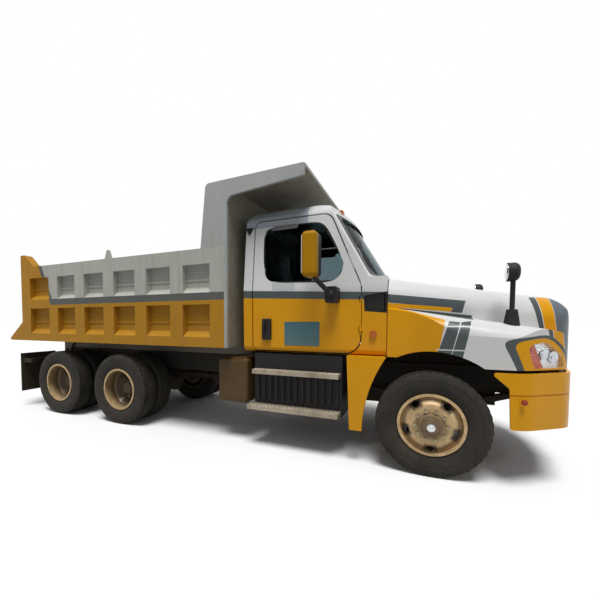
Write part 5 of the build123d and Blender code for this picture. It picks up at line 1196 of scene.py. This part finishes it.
def make_bumper_marker():
    """Small round side marker on the bumper."""
    lens = disc(24, MARKER_R, 0.014, MARKER_MIDDLE)
    work_face(lens, RIGHT, (0.006, 0), (0, -0.006, 0), (0.006, 0.003))
    return done(lens, "bumper_marker", MARKER_LENS, angle=35)


def make_handle_grip():
    """Upright grip that stands off the door's black handle plate at both ends."""
    grip = block(*GRIP_FOOT)
    for offset in GRIP_RUN:
        pick_end(grip, UP)
        pull(offset)
    round_off(0.005)
    return done(grip, "handle_grip", SEAL_RUBBER)


TRIM = [
    (make_door_mirror_glass, "door", "cylinder_chrome"),
    (make_door_panel, "door", "cab_paint"),
    (make_rain_visor, "door", "dark_plastic"),
    (make_handle_grip, "door", "dark_plastic"),
    (make_fender_mirror_glass, "hood", "cylinder_chrome"),
    (make_pillar_vent, "chassis", "dark_plastic"),
    (make_bumper_marker, "chassis", "lamp_amber"),
]
for make, carrier, slot in TRIM:
    for side, piece in pair_of(make(), "right", "left").items():
        fit(piece, f"{side}_door" if carrier == "door" else carrier)


# Headlamp bowls, each at a place on the right lamp's glass with its own size

LAMP_FACING = Vector((0.627, -0.779, 0))
BOWLS = (((FRONT_AXLE + 0.965, -0.937, 1.178), 1.0), ((FRONT_AXLE + 0.884, -1.002, 1.196), 0.82))
BOWL_R = 0.052
BOWL_STEPS = ((0.006, 0), (0.012, -0.006), (0.014, -0.003), (0.004, 0), (0, 0, 0.006), (0.005, 0.002))
BOWL_BEHIND = 0.020


def make_headlamp_bowl():
    """Round reflector cup with a bulb boss, open upwards."""
    cup = disc(32, BOWL_R, 0.012, turn=ALONG_Z)
    work_face(cup, UP, *BOWL_STEPS)
    return done(cup, "headlamp_bowl", CHROME, angle=35)


bowl = make_headlamp_bowl()
outward = LAMP_FACING.to_track_quat("Z", "Y").to_matrix().to_4x4()
for number, (at, size) in enumerate(BOWLS):
    seat = Matrix.Translation(Vector(at) - BOWL_BEHIND * LAMP_FACING)
    turn = seat @ outward @ Matrix.Scale(size, 4)
    for side, matrix in (("right", turn), ("left", OTHER_SIDE @ turn)):
        cup = copy_of(bowl, f"{side}_headlamp_bowl_{number}", matrix)
        fit(cup, "hood")
bpy.data.objects.remove(bowl)


# Wipers, laid on the bowed windscreen

SCREEN_FOOT = (FRONT_AXLE - 0.42, 1.96)
SCREEN_RUN = 0.5949
SCREEN_OUT = Vector((0.8596, 0, 0.5114))
SCREEN_BOW_R = 3.536
GLASS_DEPTH = 0.022
WIPER_ENDS = ((-0.72, -0.08), (-0.02, 0.62))
# Each bar's height at the wiper's start, climb to its end, lift, half thickness and points along the span
WIPER_BARS = {
    "arm": (1.998, 0.050, 0.022, 0.009, (0, 0.2, 0.4, 0.55)),
    "blade": (2.020, 0.035, 0.012, 0.007, (0.1, 0.3, 0.5, 0.7, 0.9, 1.0)),
}


def on_screen(y, z, lift):
    """Point over the bowed windscreen, lift above its glass."""
    x, foot = SCREEN_FOOT
    bow = y * y / (2 * SCREEN_BOW_R)
    return Vector((x - (z - foot) * SCREEN_RUN, y, z)) + SCREEN_OUT * (lift - GLASS_DEPTH - bow)


def make_strip(points, half, name):
    """Square bar drawn through a row of points towards the left."""
    first = Vector((half, half, half))
    strip = block(points[0] - first, points[0] + first)
    for here, there in zip(points, points[1:]):
        pick_end(strip, LEFT)
        pull(there - here)
    round_off(0.002, segments=1)
    return done(strip, name, SEAL_RUBBER)


def make_wiper(start, end):
    """Wiper arm from its pivot to the blade, and the blade along the foot of the screen."""
    bars = []
    for name, (foot, climb, lift, half, shares) in WIPER_BARS.items():
        points = [on_screen(start + (end - start) * share, foot + climb * share, lift) for share in shares]
        bars.append(make_strip(points, half, name))
    return bars


bars = [bar for ends in WIPER_ENDS for bar in make_wiper(*ends)]
fit(joined(bars, "wipers"), "chassis")


# Teeth of the step treads; each step has its rear and front end, top and outer row

STEPS = {"high": (-1.900, -0.882, 0.921, 1.135), "low": (-1.955, -0.882, 0.498, 1.165)}
TEETH = 22
TOOTH_ROWS = 3
TOOTH_ROW_PITCH = 0.035
TOOTH_START = 0.3
TOOTH_STAGGER = 0.4
TOOTH = ((-0.016, -0.006, -0.004), (0.016, 0.006, 0.002))


def make_tooth():
    """Raised grip of a step tread, standing on z = 0."""
    tooth = block(*TOOTH)
    work_face(tooth, UP, (0.003, 0.004))
    return done(tooth, "tooth", STEP_PLATE, angle=30)


tooth = make_tooth()
for name, (rear, front, z, y) in STEPS.items():
    for side, sign in SIDES.items():
        made = []
        for row in range(TOOTH_ROWS):
            for i in range(TEETH):
                share = (i + TOOTH_START + TOOTH_STAGGER * (row % 2)) / TEETH
                x = FRONT_AXLE + rear + (front - rear) * share
                seat = Matrix.Translation((x, sign * (y - TOOTH_ROW_PITCH * row), z))
                made.append(copy_of(tooth, "tooth_copy", seat))
        fit(joined(made, f"{side}_{name}_step_teeth"), "chassis")
bpy.data.objects.remove(tooth)


# Stage, light and camera

FLOOR_SIZE = 400
FLOOR_SEEN = (0.92, 0.92, 0.92, 1)
FLOOR_BOUNCE = (0.34, 0.34, 0.34, 1)
SKY = 0.30
SUN_ENERGY = 2.9
SUN_ANGLE = radians(24)
SUN_HEADING = Vector((-0.12, 0.34, -1.0))
CAMERA_PLACE = (2.557, -4.818, 1.496)
CAMERA_TURN = (radians(87.2), 0, radians(25.74))
CAMERA_LENS = 20.7
CAMERA_SENSOR = 36
CAMERA_SHIFT = (0.0784, 0.0633)


def seen_rays(tree):
    """1 for what the camera sees straight, in a mirror or through glass."""
    paths = tree.nodes.new("ShaderNodeLightPath").outputs
    straight = either(tree, paths["Is Camera Ray"], paths["Is Glossy Ray"])
    return either(tree, straight, paths["Is Transmission Ray"])


bpy.ops.object.select_all(action="DESELECT")
bpy.ops.mesh.primitive_plane_add(size=FLOOR_SIZE)
ground = bpy.context.object
ground.name = "floor"
pale, tree, shader = new_finish("pale floor")
dress(tree, shader, {
    "Base Color": mix(tree, seen_rays(tree), FLOOR_BOUNCE, FLOOR_SEEN),
    "Roughness": 0.9, "Specular IOR Level": 0.1})
ground.data.materials.append(pale)

world = bpy.data.worlds.new("studio")
scene.world = world
world.use_nodes = True
tree = world.node_tree
backdrop = tree.nodes["Background"]
backdrop.inputs["Color"].default_value = (1, 1, 1, 1)
feed(tree, backdrop.inputs["Strength"], scaled(tree, seen_rays(tree), 1.0 - SKY, SKY))

sun = bpy.data.objects.new("sun", bpy.data.lights.new("sun", "SUN"))
scene.collection.objects.link(sun)
sun.data.energy = SUN_ENERGY
sun.data.angle = SUN_ANGLE
sun.rotation_euler = SUN_HEADING.to_track_quat("-Z", "Y").to_euler()

camera = bpy.data.objects.new("camera", bpy.data.cameras.new("camera"))
scene.collection.objects.link(camera)
camera.location = CAMERA_PLACE
camera.rotation_euler = CAMERA_TURN
camera.data.lens = CAMERA_LENS
camera.data.sensor_width = CAMERA_SENSOR
camera.data.shift_x, camera.data.shift_y = CAMERA_SHIFT
scene.camera = camera
